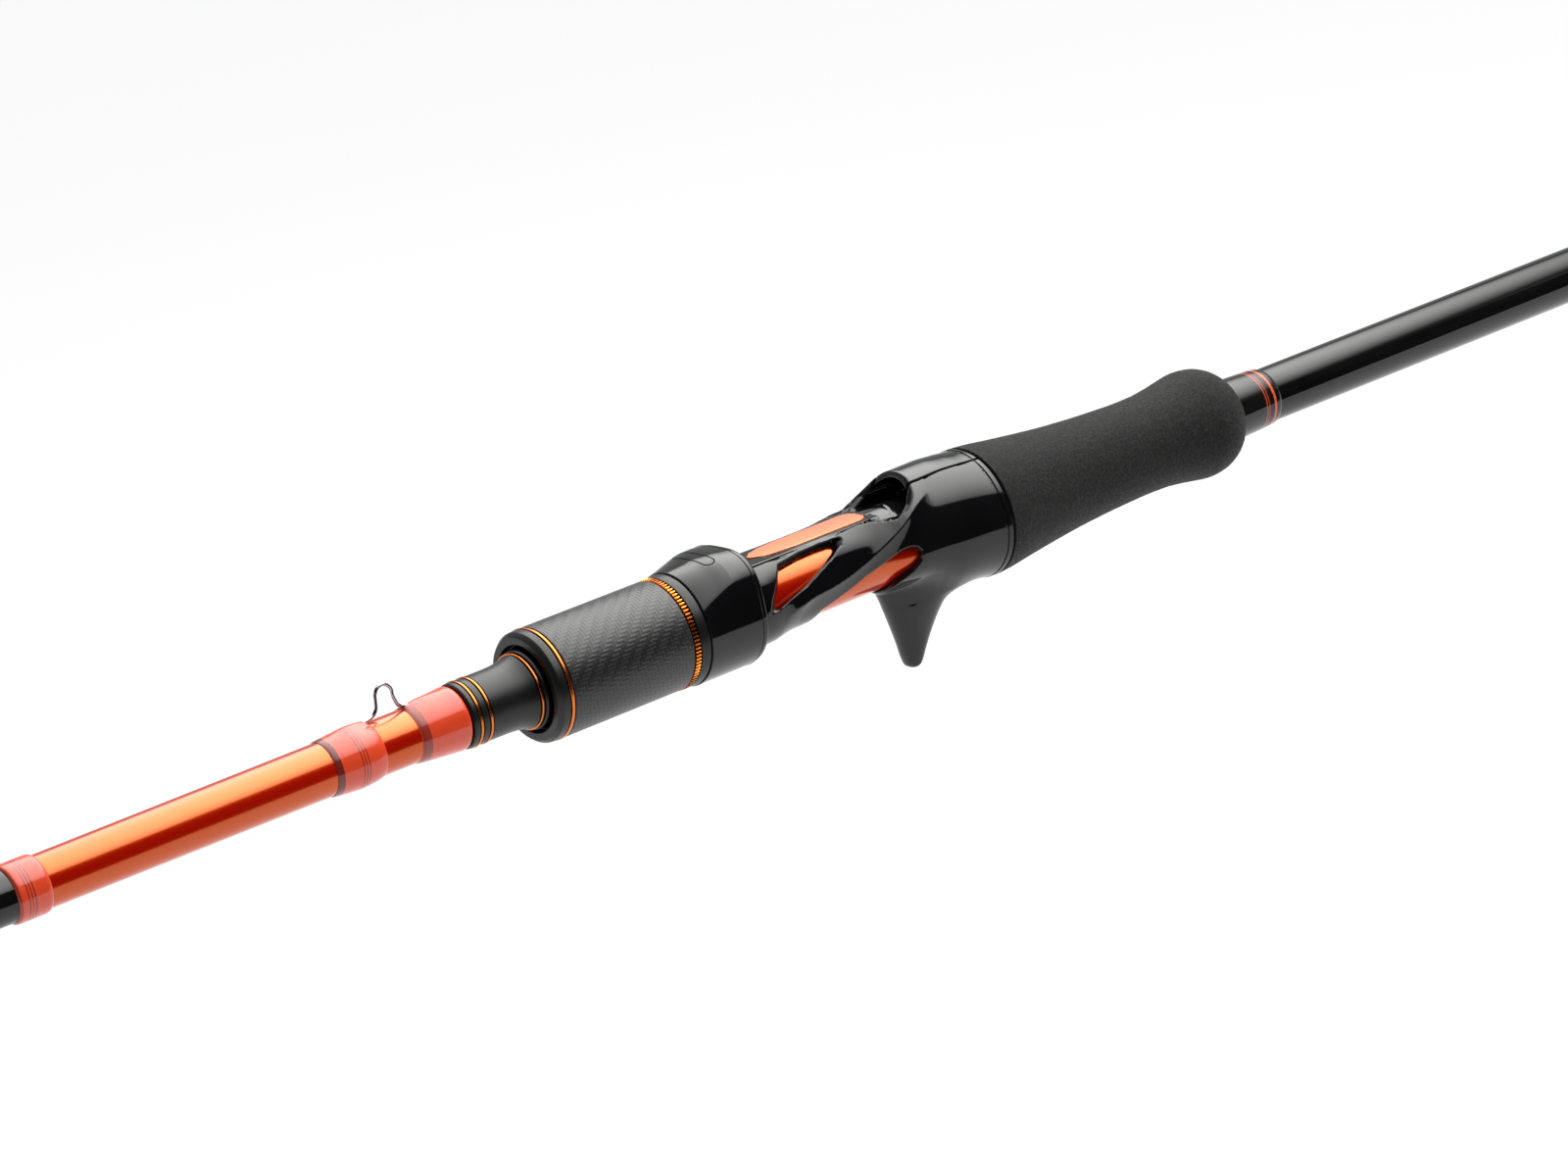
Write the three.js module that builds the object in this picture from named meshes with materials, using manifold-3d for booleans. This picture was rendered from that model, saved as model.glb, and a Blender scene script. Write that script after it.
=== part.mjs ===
// Two-piece casting rod with a skeleton trigger reel seat, split EVA grips and seven guides.
// Millimetres. +X runs from the butt to the tip, +Z is the side the reel sits on,
// the origin is the centre of the butt cap's end face, on the rod's axis.
import * as THREE from 'three';
import { mergeVertices, mergeGeometries } from 'three/addons/utils/BufferGeometryUtils.js';
import Module from 'manifold-3d';
const wasm = await Module();
wasm.setup();

// ---------------------------------------------------------------- driving dimensions
const GAP = 0.3;                       // clearance kept between touching pieces
const ROD_LENGTH = 2134;               // 7 ft
const FERRULE_X = 1076;                // where the two sections meet
const SPIGOT_OUT = 74;                 // spigot length beyond the butt section
const BLANK_WALL = 1.15;
// blank outer radius against distance from the butt
const BLANK = [[5, 6.5], [224, 6.42], [330, 6.2], [470, 5.9], [573, 5.62], [800, 4.98], [FERRULE_X, 4.2],
  [1400, 3.15], [1700, 2.2], [2000, 1.3], [2124, 0.95]];
// reel seat
const BARREL_R = 8.5, BARREL_FRONT = 445.2, CORE_R = 8.35, CORE_IN = 6.85;
const SADDLE_Z = 9.2;                  // height of the saddle over the axis
const SEAT_REAR = 321.1;
// screw-down nut and hood
const NUT_FRONT = 445.3, NUT_TRIM_X = 442.45, KNURL_X = 408.9, NUT_REAR = 405.5;
const HOOD_FRONT = 405.1, HOOD_REAR = 389.5, HOOD_R = 12.9, HOOD_TOP = 14.3;
const NUT_BORE = 9.3;
// palm grip: [x, radius]
const GRIP = [[320.7, 15.0], [311.4, 14.0], [300.4, 12.75], [289.2, 11.8], [277.9, 11.25], [266.5, 11.15],
  [260.8, 11.6], [255, 12.4], [251.5, 12.85], [248, 12.5], [244.6, 10.8], [240.4, 7.35]];
// butt grip: [x, radius]
const BUTT_GRIP = [[101, 7.6], [98, 9.6], [91, 11.6], [80, 12.2], [56, 12.5], [30, 13.4], [9.6, 14.4]];
// guides: distance from the butt, hole radius, height of the ring's centre over the blank's axis
const GUIDES = [
  { name: 'guide_1', x: 919, r: 4.9, h: 17.5, double: true },
  { name: 'guide_2', x: 1189, r: 4.0, h: 13.8 },
  { name: 'guide_3', x: 1409, r: 3.3, h: 11.2 },
  { name: 'guide_4', x: 1594, r: 3.05, h: 9.6 },
  { name: 'guide_5', x: 1754, r: 3.05, h: 9.0 },
  { name: 'guide_6', x: 1894, r: 3.05, h: 8.6 },
  { name: 'guide_7', x: 2019, r: 3.05, h: 8.3 },
];

// ---------------------------------------------------------------- helpers
const group = new THREE.Group();
const lerp = (a, b, t) => a + (b - a) * t;
function table(rows, x) {                // straight-line lookup in rows sorted either way
  const r = rows[0][0] <= rows[rows.length - 1][0] ? rows : [...rows].reverse();
  if (x <= r[0][0]) return r[0][1];
  for (let i = 1; i < r.length; i++) {
    if (x <= r[i][0]) return lerp(r[i - 1][1], r[i][1], (x - r[i - 1][0]) / (r[i][0] - r[i - 1][0]));
  }
  return r[r.length - 1][1];
}
const blankR = (x) => table(BLANK, x);

// merged vertices, no degenerate faces, faces turned outwards
function clean(geometry) {
  let g = geometry.clone();
  g.deleteAttribute('normal');
  g.deleteAttribute('uv');
  g = mergeVertices(g, 1e-4);
  const p = g.attributes.position, src = g.index.array, tri = [];
  let vol = 0;
  const a = new THREE.Vector3(), b = new THREE.Vector3(), c = new THREE.Vector3();
  for (let i = 0; i < src.length; i += 3) {
    const [i0, i1, i2] = [src[i], src[i + 1], src[i + 2]];
    if (i0 === i1 || i1 === i2 || i0 === i2) continue;
    tri.push(i0, i1, i2);
    a.fromBufferAttribute(p, i0); b.fromBufferAttribute(p, i1); c.fromBufferAttribute(p, i2);
    vol += a.dot(b.cross(c));
  }
  if (vol < 0) for (let i = 0; i < tri.length; i += 3) [tri[i], tri[i + 1]] = [tri[i + 1], tri[i]];
  g.setIndex(tri);
  return g;
}
function solid(geometry) {
  const g = clean(geometry);
  return new wasm.Manifold(new wasm.Mesh({
    numProp: 3,
    vertProperties: new Float32Array(g.attributes.position.array),
    triVerts: new Uint32Array(g.index.array),
  }));
}
function geometryOf(manifold) {
  const m = manifold.getMesh();
  const pos = new Float32Array(m.numVert * 3);
  for (let i = 0; i < m.numVert; i++) for (let k = 0; k < 3; k++) pos[3 * i + k] = m.vertProperties[i * m.numProp + k];
  const g = new THREE.BufferGeometry();
  g.setAttribute('position', new THREE.BufferAttribute(pos, 3));
  g.setIndex(Array.from(m.triVerts));
  return g;
}
function put(name, geometry, material, asIs = false) {
  const g = asIs ? geometry : clean(geometry);
  g.computeVertexNormals();
  const mesh = new THREE.Mesh(g, material);
  mesh.name = name;
  group.add(mesh);
}
const putSolid = (name, manifold, material) => put(name, geometryOf(manifold), material, true);

// closed ring profile [[x, radius], ...] turned about the X axis
function turned(profile, segments = 20) {
  const pts = profile.map(([x, r]) => new THREE.Vector2(Math.max(r, 0), x));
  const first = profile[0], last = profile[profile.length - 1];
  if (first[1] > 0 || last[1] > 0) pts.push(pts[0].clone());
  const g = new THREE.LatheGeometry(pts, segments);
  g.rotateZ(-Math.PI / 2);             // the lathe's own axis becomes +X
  return g;
}
// tube between two profiles: outer [[x, r]...] and inner [[x, r]...], both in rising or falling x
const sleeve = (outer, inner, segments) => turned([...outer, ...[...inner].reverse()], segments);
// solid of revolution, closed on the axis
const bar = (outer, segments) => turned([[outer[0][0], 0], ...outer, [outer[outer.length - 1][0], 0]], segments);
// a lathe whose vertices are moved by a function of (x, angle from +Z, radius)
function shaped(geometry, fn) {
  const p = geometry.attributes.position;
  for (let i = 0; i < p.count; i++) {
    const x = p.getX(i), y = p.getY(i), z = p.getZ(i);
    const r = Math.hypot(y, z), th = Math.atan2(y, z);
    const q = fn(x, th, r);
    if (q) p.setXYZ(i, q[0], q[1], q[2]);
  }
  return geometry;
}
function box(x0, x1, y0, y1, z0, z1) {
  const g = new THREE.BoxGeometry(x1 - x0, y1 - y0, z1 - z0);
  g.translate((x0 + x1) / 2, (y0 + y1) / 2, (z0 + z1) / 2);
  return g;
}
// outline in the XZ plane, extruded from y0 to y1
function plateXZ(points, y0, y1) {
  const g = new THREE.ExtrudeGeometry(new THREE.Shape(points.map(([x, z]) => new THREE.Vector2(x, z))),
    { depth: y1 - y0, bevelEnabled: false, curveSegments: 8 });
  g.rotateX(Math.PI / 2);              // shape's y becomes z, depth runs towards -y
  g.translate(0, y1, 0);
  return g;
}
// outline in the XY plane, extruded from z0 to z1
function plateXY(points, z0, z1) {
  const g = new THREE.ExtrudeGeometry(new THREE.Shape(points.map(([x, y]) => new THREE.Vector2(x, y))),
    { depth: z1 - z0, bevelEnabled: false });
  g.translate(0, 0, z0);
  return g;
}
// round wire along a smooth path
function wire(points, radius, steps, sides = 6, tension = 0.5) {
  const curve = new THREE.CatmullRomCurve3(points.map((q) => new THREE.Vector3(...q)), false, 'catmullrom', tension);
  const section = new THREE.Shape();
  section.absarc(0, 0, radius, 0, Math.PI * 2, false);
  return new THREE.ExtrudeGeometry(section, { steps, extrudePath: curve, curveSegments: sides, bevelEnabled: false });
}
function strut(a, b, radius, sides = 6) {
  const va = new THREE.Vector3(...a), vb = new THREE.Vector3(...b);
  const g = new THREE.CylinderGeometry(radius, radius, va.distanceTo(vb), sides);
  g.applyQuaternion(new THREE.Quaternion().setFromUnitVectors(new THREE.Vector3(0, 1, 0), vb.clone().sub(va).normalize()));
  g.translate((va.x + vb.x) / 2, (va.y + vb.y) / 2, (va.z + vb.z) / 2);
  return g;
}

// ---------------------------------------------------------------- materials
const mat = (color, roughness, metalness) => new THREE.MeshStandardMaterial({ color, roughness, metalness });
const M = {
  blackGloss: mat(0x0b0b0c, 0.08, 0.1), orangeMetal: mat(0xd9501a, 0.2, 0.7), wrap: mat(0xe2502a, 0.35, 0.0),
  satin: mat(0x232325, 0.45, 0.1), copper: mat(0xe08030, 0.22, 0.9), carbon: mat(0x38393a, 0.5, 0.1),
  anodised: mat(0xd85a1e, 0.3, 0.8), moulded: mat(0x0e0e10, 0.12, 0.0), eva: mat(0x2c2b2a, 0.95, 0.0),
  chrome: mat(0xd8d8da, 0.08, 1.0), steel: mat(0x5a5c60, 0.22, 1.0), ceramic: mat(0x26282b, 0.15, 0.0),
  thread: mat(0x141415, 0.25, 0.0), graphite: mat(0x3a3b3d, 0.6, 0.0), rubber: mat(0x191919, 0.85, 0.0),
};

// ---------------------------------------------------------------- blank: two tapered tubes and a spigot
function tube(x0, x1, segments, extra = []) {
  const xs = [x0, ...BLANK.map((b) => b[0]).filter((x) => x > x0 + 1 && x < x1 - 1), x1];
  return sleeve(xs.map((x) => [x, blankR(x)]), [[x0, blankR(x0) - BLANK_WALL], ...extra, [x1, Math.max(blankR(x1) - BLANK_WALL, 0.35)]], segments);
}
const BUTT_TUBE_END = FERRULE_X - GAP;
put('butt_blank', tube(6.6, BUTT_TUBE_END, 24, [[FERRULE_X - 80, 3.3]]), M.blackGloss);
put('tip_blank', tube(FERRULE_X + GAP, 2124, 16, [[FERRULE_X + 80, 2.95], [FERRULE_X + 86, 2.3]]), M.blackGloss);
put('ferrule_spigot', bar([[FERRULE_X - 62, 2.86], [FERRULE_X, 2.78], [FERRULE_X + SPIGOT_OUT - 2, 2.6], [FERRULE_X + SPIGOT_OUT, 2.2]], 16), M.blackGloss);
// thread wrap round the blank with rounded ends
function wrapSleeve(x0, x1, lift, segments = 20, bore = GAP) {
  const r = (x) => blankR(x) + lift;
  return sleeve([[x0, blankR(x0) + 0.45], [x0 + 1.2, r(x0)], [x1 - 1.2, r(x1)], [x1, blankR(x1) + 0.45]],
    [[x0, blankR(x0) + bore], [x1, blankR(x1) + bore]], segments);
}
put('ferrule_wrap_butt', wrapSleeve(FERRULE_X - 18, FERRULE_X - 0.6, 0.7, 16), M.thread);
put('ferrule_wrap_tip', wrapSleeve(FERRULE_X + 0.6, FERRULE_X + 22, 0.7, 16), M.thread);
put('wrap_front', wrapSleeve(564.5, 572.2, 0.62, 24, 0.15), M.wrap);

// ---------------------------------------------------------------- hook keeper and its two wraps
const KEEP_F = 482.6, KEEP_R = 476.95, KEEP_TOP = 12.2, KEEP_WIRE = 0.4;
const footZ = (x) => blankR(x) + 0.25 + KEEP_WIRE;
put('hook_keeper', wire([[490, 0, footZ(490)], [486, 0, footZ(486)], [483.6, 0, footZ(483.6)], [KEEP_F + 0.15, 0, 7.4], [KEEP_F, 0, 9.2],
  [KEEP_F - 0.3, 0, 11.0], [KEEP_F - 1.6, 0, KEEP_TOP], [KEEP_R + 1.6, 0, KEEP_TOP], [KEEP_R + 0.3, 0, 11.0], [KEEP_R, 0, 9.2],
  [KEEP_R - 0.15, 0, 7.4], [475.9, 0, footZ(476)], [473, 0, footZ(473)], [469.5, 0, footZ(469.5)]], KEEP_WIRE, 30, 2), M.chrome);
// a wrap over a foot: the sleeve is raised over the foot lying along the top of the blank
function footWrap(outer, inner, segments, lift, halfAngle) {
  return shaped(sleeve(outer, inner, segments), (x, th, r) => {
    if (Math.abs(th) > halfAngle + 1e-3) return null;
    const q = r + lift;
    return [x, q * Math.sin(th), q * Math.cos(th)];
  });
}
put('wrap_keeper', footWrap([[496.7, 6.05], [495.4, 6.25], [490, 6.35], [486.5, 6.35], [485.2, 6.2]],
  [[496.7, 6.0], [485.2, 6.05]].map(([x, r]) => [x, blankR(x) + 0.12]), 24, 1.15, Math.PI / 12), M.wrap);
put('wrap_flare', footWrap([[475.3, 6.25], [474, 6.4], [470, 6.55], [466.5, 6.8], [464.6, 7.0]],
  [[475.3, blankR(475.3) + 0.12], [464.6, blankR(464.6) + 0.12]], 24, 1.15, Math.PI / 12), M.wrap);

// ---------------------------------------------------------------- front trim tube with three metal rings
const TT = 7.2;
put('front_trim_tube', sleeve([[464.2, TT], [462.3, TT], [462.3, 6.85], [461.1, 6.85], [461.1, TT], [459.8, TT], [459.8, 6.85], [458.6, 6.85],
  [458.6, TT], [449.4, TT], [447.4, 8.1], [447.4, 7.5], [446.2, 7.5], [446.2, 8.7], [445.6, 8.75]],
[[464.2, 6.35], [445.6, 6.35]], 20), M.satin);
put('trim_ring_front', sleeve([[462.0, 7.4], [461.4, 7.4]], [[462.0, 7.14], [461.4, 7.14]], 20), M.copper);
put('trim_ring_mid', sleeve([[459.5, 7.4], [458.9, 7.4]], [[459.5, 7.14], [458.9, 7.14]], 20), M.copper);
put('trim_ring_flange', sleeve([[447.1, 8.45], [446.5, 8.55]], [[447.1, 7.8], [446.5, 7.8]], 20), M.copper);

// ---------------------------------------------------------------- reel seat moulding
// outer form: top height, side half-width and bottom depth against x
const TOP = [[321.1, 14.9], [324, 15.1], [328, 15.5], [333, 15.8], [339, 15.75], [344, 15.2], [348, 13.6], [352, 11.6], [357, 10.1], [362, 9.4], [366, SADDLE_Z],
  [384, SADDLE_Z], [386, 9.6], [387.2, 9.9], [388.4, BARREL_R]];
const SIDE = [[321.1, 14.9], [326, 14.2], [333, 13.4], [339, 12.6], [345, 11.6], [352, 10.4], [360, 9.6], [372, 9.5], [380, 9.9], [386, 10.4], [387.2, 10.4], [388.4, BARREL_R]];
const BOTTOM = [[321.1, 14.9], [326, 14.3], [333, 13.8], [336, 12.6], [339, 10.9], [343, 9.7], [350, 9.2], [366, 9.1], [378, 9.4], [384, 10.2], [387.2, 10.3], [388.4, BARREL_R]];
const seatX = [321.1, 328, 333, 336, 339, 343, 347, 352, 358, 366, 378, 384, 387.2, 388.4, BARREL_FRONT];
function seatOuter() {
  const g = bar(seatX.map((x) => [x, 10]), 28);
  return shaped(g, (x, th, r) => {
    if (r < 1e-6) return null;
    const s = Math.sin(th), c = Math.cos(th);
    const b = table(SIDE, x), a = c > 0 ? table(TOP, x) : table(BOTTOM, x);
    const n = x > 388 ? 2 : (c > 0 ? 2.35 : 2.05);
    const k = 1 / Math.pow(Math.pow(Math.abs(c) / a, n) + Math.pow(Math.abs(s) / b, n), 1 / n);
    return [x, k * s, k * c];
  });
}
const trigger = plateXZ([[352.6, -8.7], [350, -10], [348.6, -13], [347.2, -18], [346.2, -23], [345.9, -26.6], [345.0, -28.6], [344.0, -29.0], [343.0, -28.2],
  [341.2, -24.5], [338.6, -20.4], [335.4, -16.8], [331.5, -14.2], [328, -12.6], [334, -7.4]], -2.8, 2.8);
let seat = solid(seatOuter());
seat = seat.add(solid(trigger));
// bore for the liner, then the smaller bore at the rear and through the barrel
seat = seat.subtract(solid(bar([[330, CORE_R + GAP], [386.4, CORE_R + GAP]], 28)));
seat = seat.subtract(solid(bar([[320, 7.1], [BARREL_FRONT + 1, 7.1]], 20)));
// side windows and the open underside
const SIDE_WINDOW = [[386, -0.6], [384.5, -1.1], [376, 1.7], [367, 5.3], [362.8, 7.0], [363.5, 7.5], [380.5, 7.1], [383, 4.1]];
const windowL = plateXZ(SIDE_WINDOW, 3, 16);
const windowR = plateXZ(SIDE_WINDOW, -16, -3);
const lower = plateXZ([[371.8, -6.5], [366, -4.3], [360, -2.1], [352, -0.3], [348, 0.6], [346, 0.4], [344.6, -1.6], [344.6, -5.5], [346.4, -8.4], [353.4, -8.6], [372.4, -12]], -16, 16);
seat = seat.subtract(solid(windowL)).subtract(solid(windowR)).subtract(solid(lower));
// saddle floor between the side walls, and the pocket of the fixed hood
seat = seat.subtract(solid(plateXZ([[346.6, SADDLE_Z], [366.4, SADDLE_Z], [366.4, 17], [345.2, 17]], -6.6, 6.6)));
seat = seat.subtract(solid(shaped(bar([[334, 7], [336, 7.3], [350, 7.3]], 20), (x, th, r) => (r < 1e-6 ? [x, 0, 11.6] : [x, r * Math.sin(th) * 1.0, 9.35 + Math.max(0, r * Math.cos(th)) * (4.75 / 7.3) - (Math.cos(th) < -0.01 ? 0.15 : 0)]))));
// recess for the inlay
const INLAY = [[383.6, 0], [380.6, 2.3], [377.5, 3.3], [372, 3.75], [353.2, 3.75], [350.6, 2.9], [349.4, 1.4], [349.4, -1.4], [350.6, -2.9], [353.2, -3.75], [372, -3.75], [377.5, -3.3], [380.6, -2.3]];
const grow = (pts, d) => { const cx = 366.5; return pts.map(([x, y]) => [x + Math.sign(x - cx) * d, y + Math.sign(y) * d]); };
seat = seat.subtract(solid(plateXY(grow(INLAY, 0.2), 8.9, 12)));
putSolid('seat_body', seat, M.moulded);
put('saddle_inlay', plateXY(INLAY, 9.05, 9.3), M.orangeMetal);
// the liner is flattened on top, under the saddle
{
  let core = solid(sleeve([[330.4, CORE_R], [386.1, CORE_R]], [[330.4, CORE_IN], [386.1, CORE_IN]], 28));
  core = core.subtract(solid(box(325, 392, -9, 9, 8.25, 12)));
  putSolid('seat_core', core, M.orangeMetal);
}
const arbor = (x0, x1, ro) => sleeve([[x0, ro], [x1, ro]], [[x0, blankR(x0) + 0.1], [x1, blankR(x1) + 0.1]], 24);
put('front_arbor', arbor(394, 440, 6.75), M.graphite);
put('rear_arbor', arbor(336, 384, 6.62), M.graphite);

// ---------------------------------------------------------------- movable hood
{
  const hx = [HOOD_REAR, HOOD_REAR + 0.8, 393.5, 397, 400.5, HOOD_FRONT - 0.3, HOOD_FRONT];
  const crest = [[HOOD_REAR, HOOD_TOP - 0.1], [393.5, HOOD_TOP], [397, 14.05], [400.5, 13.45], [HOOD_FRONT, 12.9]];
  const inset = { [HOOD_REAR]: 0.7, [HOOD_FRONT]: 0.2 };
  let hood = solid(shaped(bar(hx.map((x) => [x, 10]), 32), (x, th, r) => {
    if (r < 1e-6) return null;
    const s = Math.sin(th), c = Math.cos(th), d = inset[x] ?? 0;
    const a = (c > 0 ? table(crest, x) : HOOD_R) - d, b = HOOD_R - d, n = c > 0 ? lerp(2, 2.4, Math.min(1, (HOOD_FRONT - x) / 8)) : 2;
    const k = 1 / Math.pow(Math.pow(Math.abs(c) / a, n) + Math.pow(Math.abs(s) / b, n), 1 / n);
    return [x, k * s, k * c];
  }));
  hood = hood.subtract(solid(bar([[HOOD_REAR - 1, BARREL_R + 0.35], [HOOD_FRONT + 1, BARREL_R + 0.35]], 32)));
  // pocket that takes the front end of a reel foot
  hood = hood.subtract(solid(plateXZ([[HOOD_REAR - 1, 5], [401.5, 5], [401.5, 11.8], [399, 12.6], [396.6, 13.0], [HOOD_REAR - 1, 13.0]], -6.3, 6.3)));
  putSolid('movable_hood', hood, M.blackGloss);
}

// ---------------------------------------------------------------- screw-down nut: core and five outer pieces
const NC = 10.8;                       // outer radius of the threaded core
put('nut_core', sleeve([[443.2, NC], [NUT_REAR + 1.8, NC]], [[443.2, NUT_BORE], [NUT_REAR + 1.8, NUT_BORE]], 24), M.graphite);
const NI = NC + 0.25;
put('nut_front_cap', sleeve([[NUT_FRONT, 11.3], [NUT_FRONT - 0.9, 12.2], [NUT_TRIM_X + 0.25, 12.4]],
  [[NUT_FRONT, 9.7], [443.5, 9.7], [443.5, NI], [NUT_TRIM_X + 0.25, NI]], 24), M.satin);
put('nut_trim_ring', sleeve([[NUT_TRIM_X, 12.5], [NUT_TRIM_X - 0.9, 12.5]], [[NUT_TRIM_X, NI], [NUT_TRIM_X - 0.9, NI]], 24), M.copper);
put('carbon_sleeve', sleeve([[NUT_TRIM_X - 1.2, 12.4], [KNURL_X + 1.1, 12.4]], [[NUT_TRIM_X - 1.2, NI], [KNURL_X + 1.1, NI]], 24), M.carbon);
put('knurled_ring', sleeve([[KNURL_X + 0.8, 12.5], [KNURL_X - 0.8, 12.5]], [[KNURL_X + 0.8, NI], [KNURL_X - 0.8, NI]], 24), M.anodised);
put('nut_rear_collar', sleeve([[KNURL_X - 1.1, 12.4], [NUT_REAR + 0.3, 12.7], [NUT_REAR, 12.4]],
  [[KNURL_X - 1.1, NI], [NUT_REAR + 1.5, NI], [NUT_REAR + 1.5, NUT_BORE], [NUT_REAR, NUT_BORE]], 24), M.satin);

// ---------------------------------------------------------------- grips, windings and butt cap
const under = (x) => blankR(x) + 0.12;
put('palm_grip', sleeve(GRIP, [[320.7, under(320.7)], [240.4, under(240.4)]], 24), M.eva);
put('rear_winding', sleeve([[240.0, 7.3], [235, 7.2], [228.5, 6.95], [226.6, 6.7]], [[240.0, under(240.0)], [226.6, under(226.6)]], 20), M.thread);
put('butt_winding', sleeve([[113, 6.75], [111.4, 7.1], [103, 7.3], [101.4, 7.2]], [[113, under(113)], [101.4, under(101.4)]], 20), M.thread);
put('butt_grip', sleeve(BUTT_GRIP, [[101, under(101)], [9.6, under(9.6)]], 24), M.eva);
put('butt_ring', sleeve([[9.3, 14.5], [7.9, 14.5]], [[9.3, under(9)], [7.9, under(8)]], 20), M.anodised);
put('butt_cap', bar([[0, 12.4], [0.9, 13.9], [2.6, 14.6], [6.2, 14.7], [7.6, 14.4], [7.6, 7.0], [6.3, 7.0], [6.3, 4.9], [20, 4.7]], 20), M.rubber);

// ---------------------------------------------------------------- guides
// flat-topped ring about an axis along X, centre at height h
function ringSolid(x0, x1, ri, ro, h, segments) {
  const g = sleeve([[x0, ro], [x1, ro]], [[x0, ri], [x1, ri]], segments);
  g.translate(0, 0, h);
  return g;
}
// round bar across a ring, to keep its seat clear
function hole(x, radius, h, segments, half) {
  const g = bar([[x - half, radius], [x + half, radius]], segments);
  g.translate(0, 0, h);
  return g;
}
for (const G of GUIDES) {
  const { name, x, r, h } = G;
  const big = r > 4.5, wr = big ? 0.62 : 0.5;
  const seg = 16, ro = r + (big ? 0.95 : 0.75), hoop = ro + 0.2 + (big ? 0.75 : 0.6);
  const t = big ? 1.0 : 0.8;
  let frame = solid(ringSolid(x - t, x + t, ro + 0.2, hoop, h, seg));
  const side = (hoop + ro + 0.2) / 2;
  const legs = (xf, dir, spread) => {   // two legs from the hoop's sides down to a foot at xf
    const zf = blankR(xf) + 0.15 + wr;
    for (const s of [-1, 1]) {
      const ang = spread;
      frame = frame.add(solid(strut([x, s * side * Math.cos(ang), h + side * Math.sin(ang)], [xf, s * 0.45, zf + 0.15], wr)));
    }
    const zb = blankR(xf) + 0.15, len = G.double ? 11 : 10, w = Math.min(1.1, blankR(xf) * 0.6);
    frame = frame.add(solid(box(Math.min(xf - dir * 0.8, xf + dir * len), Math.max(xf - dir * 0.8, xf + dir * len), -w, w, zb, zb + 0.7)));
    return [xf, len];
  };
  const wrapsAt = [];
  if (G.double) {
    const f = legs(x + h * 0.62, 1, -0.55), b = legs(x - h * 0.78, -1, -0.15);
    wrapsAt.push([f[0], 1, f[1], `${name}_wrap_front`], [b[0], -1, b[1], `${name}_wrap_rear`]);
  } else {
    const f = legs(x + h * 0.62, 1, -0.35);
    wrapsAt.push([f[0], 1, f[1], `${name}_wrap`]);
  }
  frame = frame.subtract(solid(hole(x, ro + 0.2, h, seg, 3)));
  putSolid(`${name}_frame`, frame, M.steel);
  put(`${name}_ring`, ringSolid(x - t - 0.15, x + t + 0.15, r, ro, h, seg), M.ceramic);
  for (const [xf, dir, len, wname] of wrapsAt) {
    const a = xf + dir * 1.0, b = xf + dir * (len + 3.5), lo = Math.min(a, b), hi = Math.max(a, b);
    const n = 16, rb = blankR(xf), lift = 1.0;
    const half = Math.atan2(1.25, rb) > Math.PI / 8 + 0.02 ? Math.PI / 4 : Math.PI / 8;
    put(wname, footWrap([[lo, blankR(lo) + 0.45], [lo + 0.8, blankR(lo) + 0.55], [hi - 0.8, blankR(hi) + 0.55], [hi, blankR(hi) + 0.45]],
      [[lo, blankR(lo) + 0.1], [hi, blankR(hi) + 0.1]], n, lift, half), M.thread);
  }
}
// tip-top: socket tube, hoop and struts, with its ring
{
  const x = 2130.8, r = 3.05, ro = 3.8, hoop = 4.6, h = 6.6, t = 0.8;
  let frame = solid(sleeve([[2108, 1.75], [2124.6, 1.6]], [[2108, 1.32], [2124.6, 1.25]], 16));
  frame = frame.add(solid(ringSolid(x - t, x + t, ro + 0.2, hoop, h, 16)));
  frame = frame.add(solid(bar([[2124.4, 1.6], [2126.4, 1.1]], 16)));
  for (const s of [-1, 1]) {
    frame = frame.add(solid(strut([2113, s * 0.9, 1.35], [x, s * 4.1, h - 1.4], 0.45)));
    frame = frame.add(solid(strut([2125.2, s * 0.5, 0.5], [x, s * 2.4, h - 3.6], 0.45)));
  }
  frame = frame.subtract(solid(hole(x, ro + 0.2, h, 16, 3)));
  putSolid('tiptop_frame', frame, M.steel);
  put('tiptop_ring', ringSolid(x - t - 0.15, x + t + 0.15, r, ro, h, 16), M.ceramic);
  put('tiptop_wrap', sleeve([[2097, 1.5], [2098, 1.75], [2106.8, 1.75], [2107.7, 1.6]], [[2097, blankR(2097) + 0.12], [2107.7, blankR(2107) + 0.12]], 16), M.thread);
}

export default group;
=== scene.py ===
import math

import bmesh
import bpy
import numpy as np
from mathutils import Matrix, Vector


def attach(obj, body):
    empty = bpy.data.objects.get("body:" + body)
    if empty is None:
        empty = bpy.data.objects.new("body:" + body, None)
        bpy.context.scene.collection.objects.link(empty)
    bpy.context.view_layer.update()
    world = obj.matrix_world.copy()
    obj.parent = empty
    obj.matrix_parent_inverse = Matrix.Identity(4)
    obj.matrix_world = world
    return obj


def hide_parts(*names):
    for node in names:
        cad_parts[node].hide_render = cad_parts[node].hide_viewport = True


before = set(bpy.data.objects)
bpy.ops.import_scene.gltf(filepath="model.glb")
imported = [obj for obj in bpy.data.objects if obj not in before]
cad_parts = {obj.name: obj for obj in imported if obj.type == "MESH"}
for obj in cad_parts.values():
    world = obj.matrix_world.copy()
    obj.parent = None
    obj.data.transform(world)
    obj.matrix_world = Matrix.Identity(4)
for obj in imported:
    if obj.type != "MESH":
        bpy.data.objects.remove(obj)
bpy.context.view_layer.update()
MM = 0.001
TAU = 2 * math.pi

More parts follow.
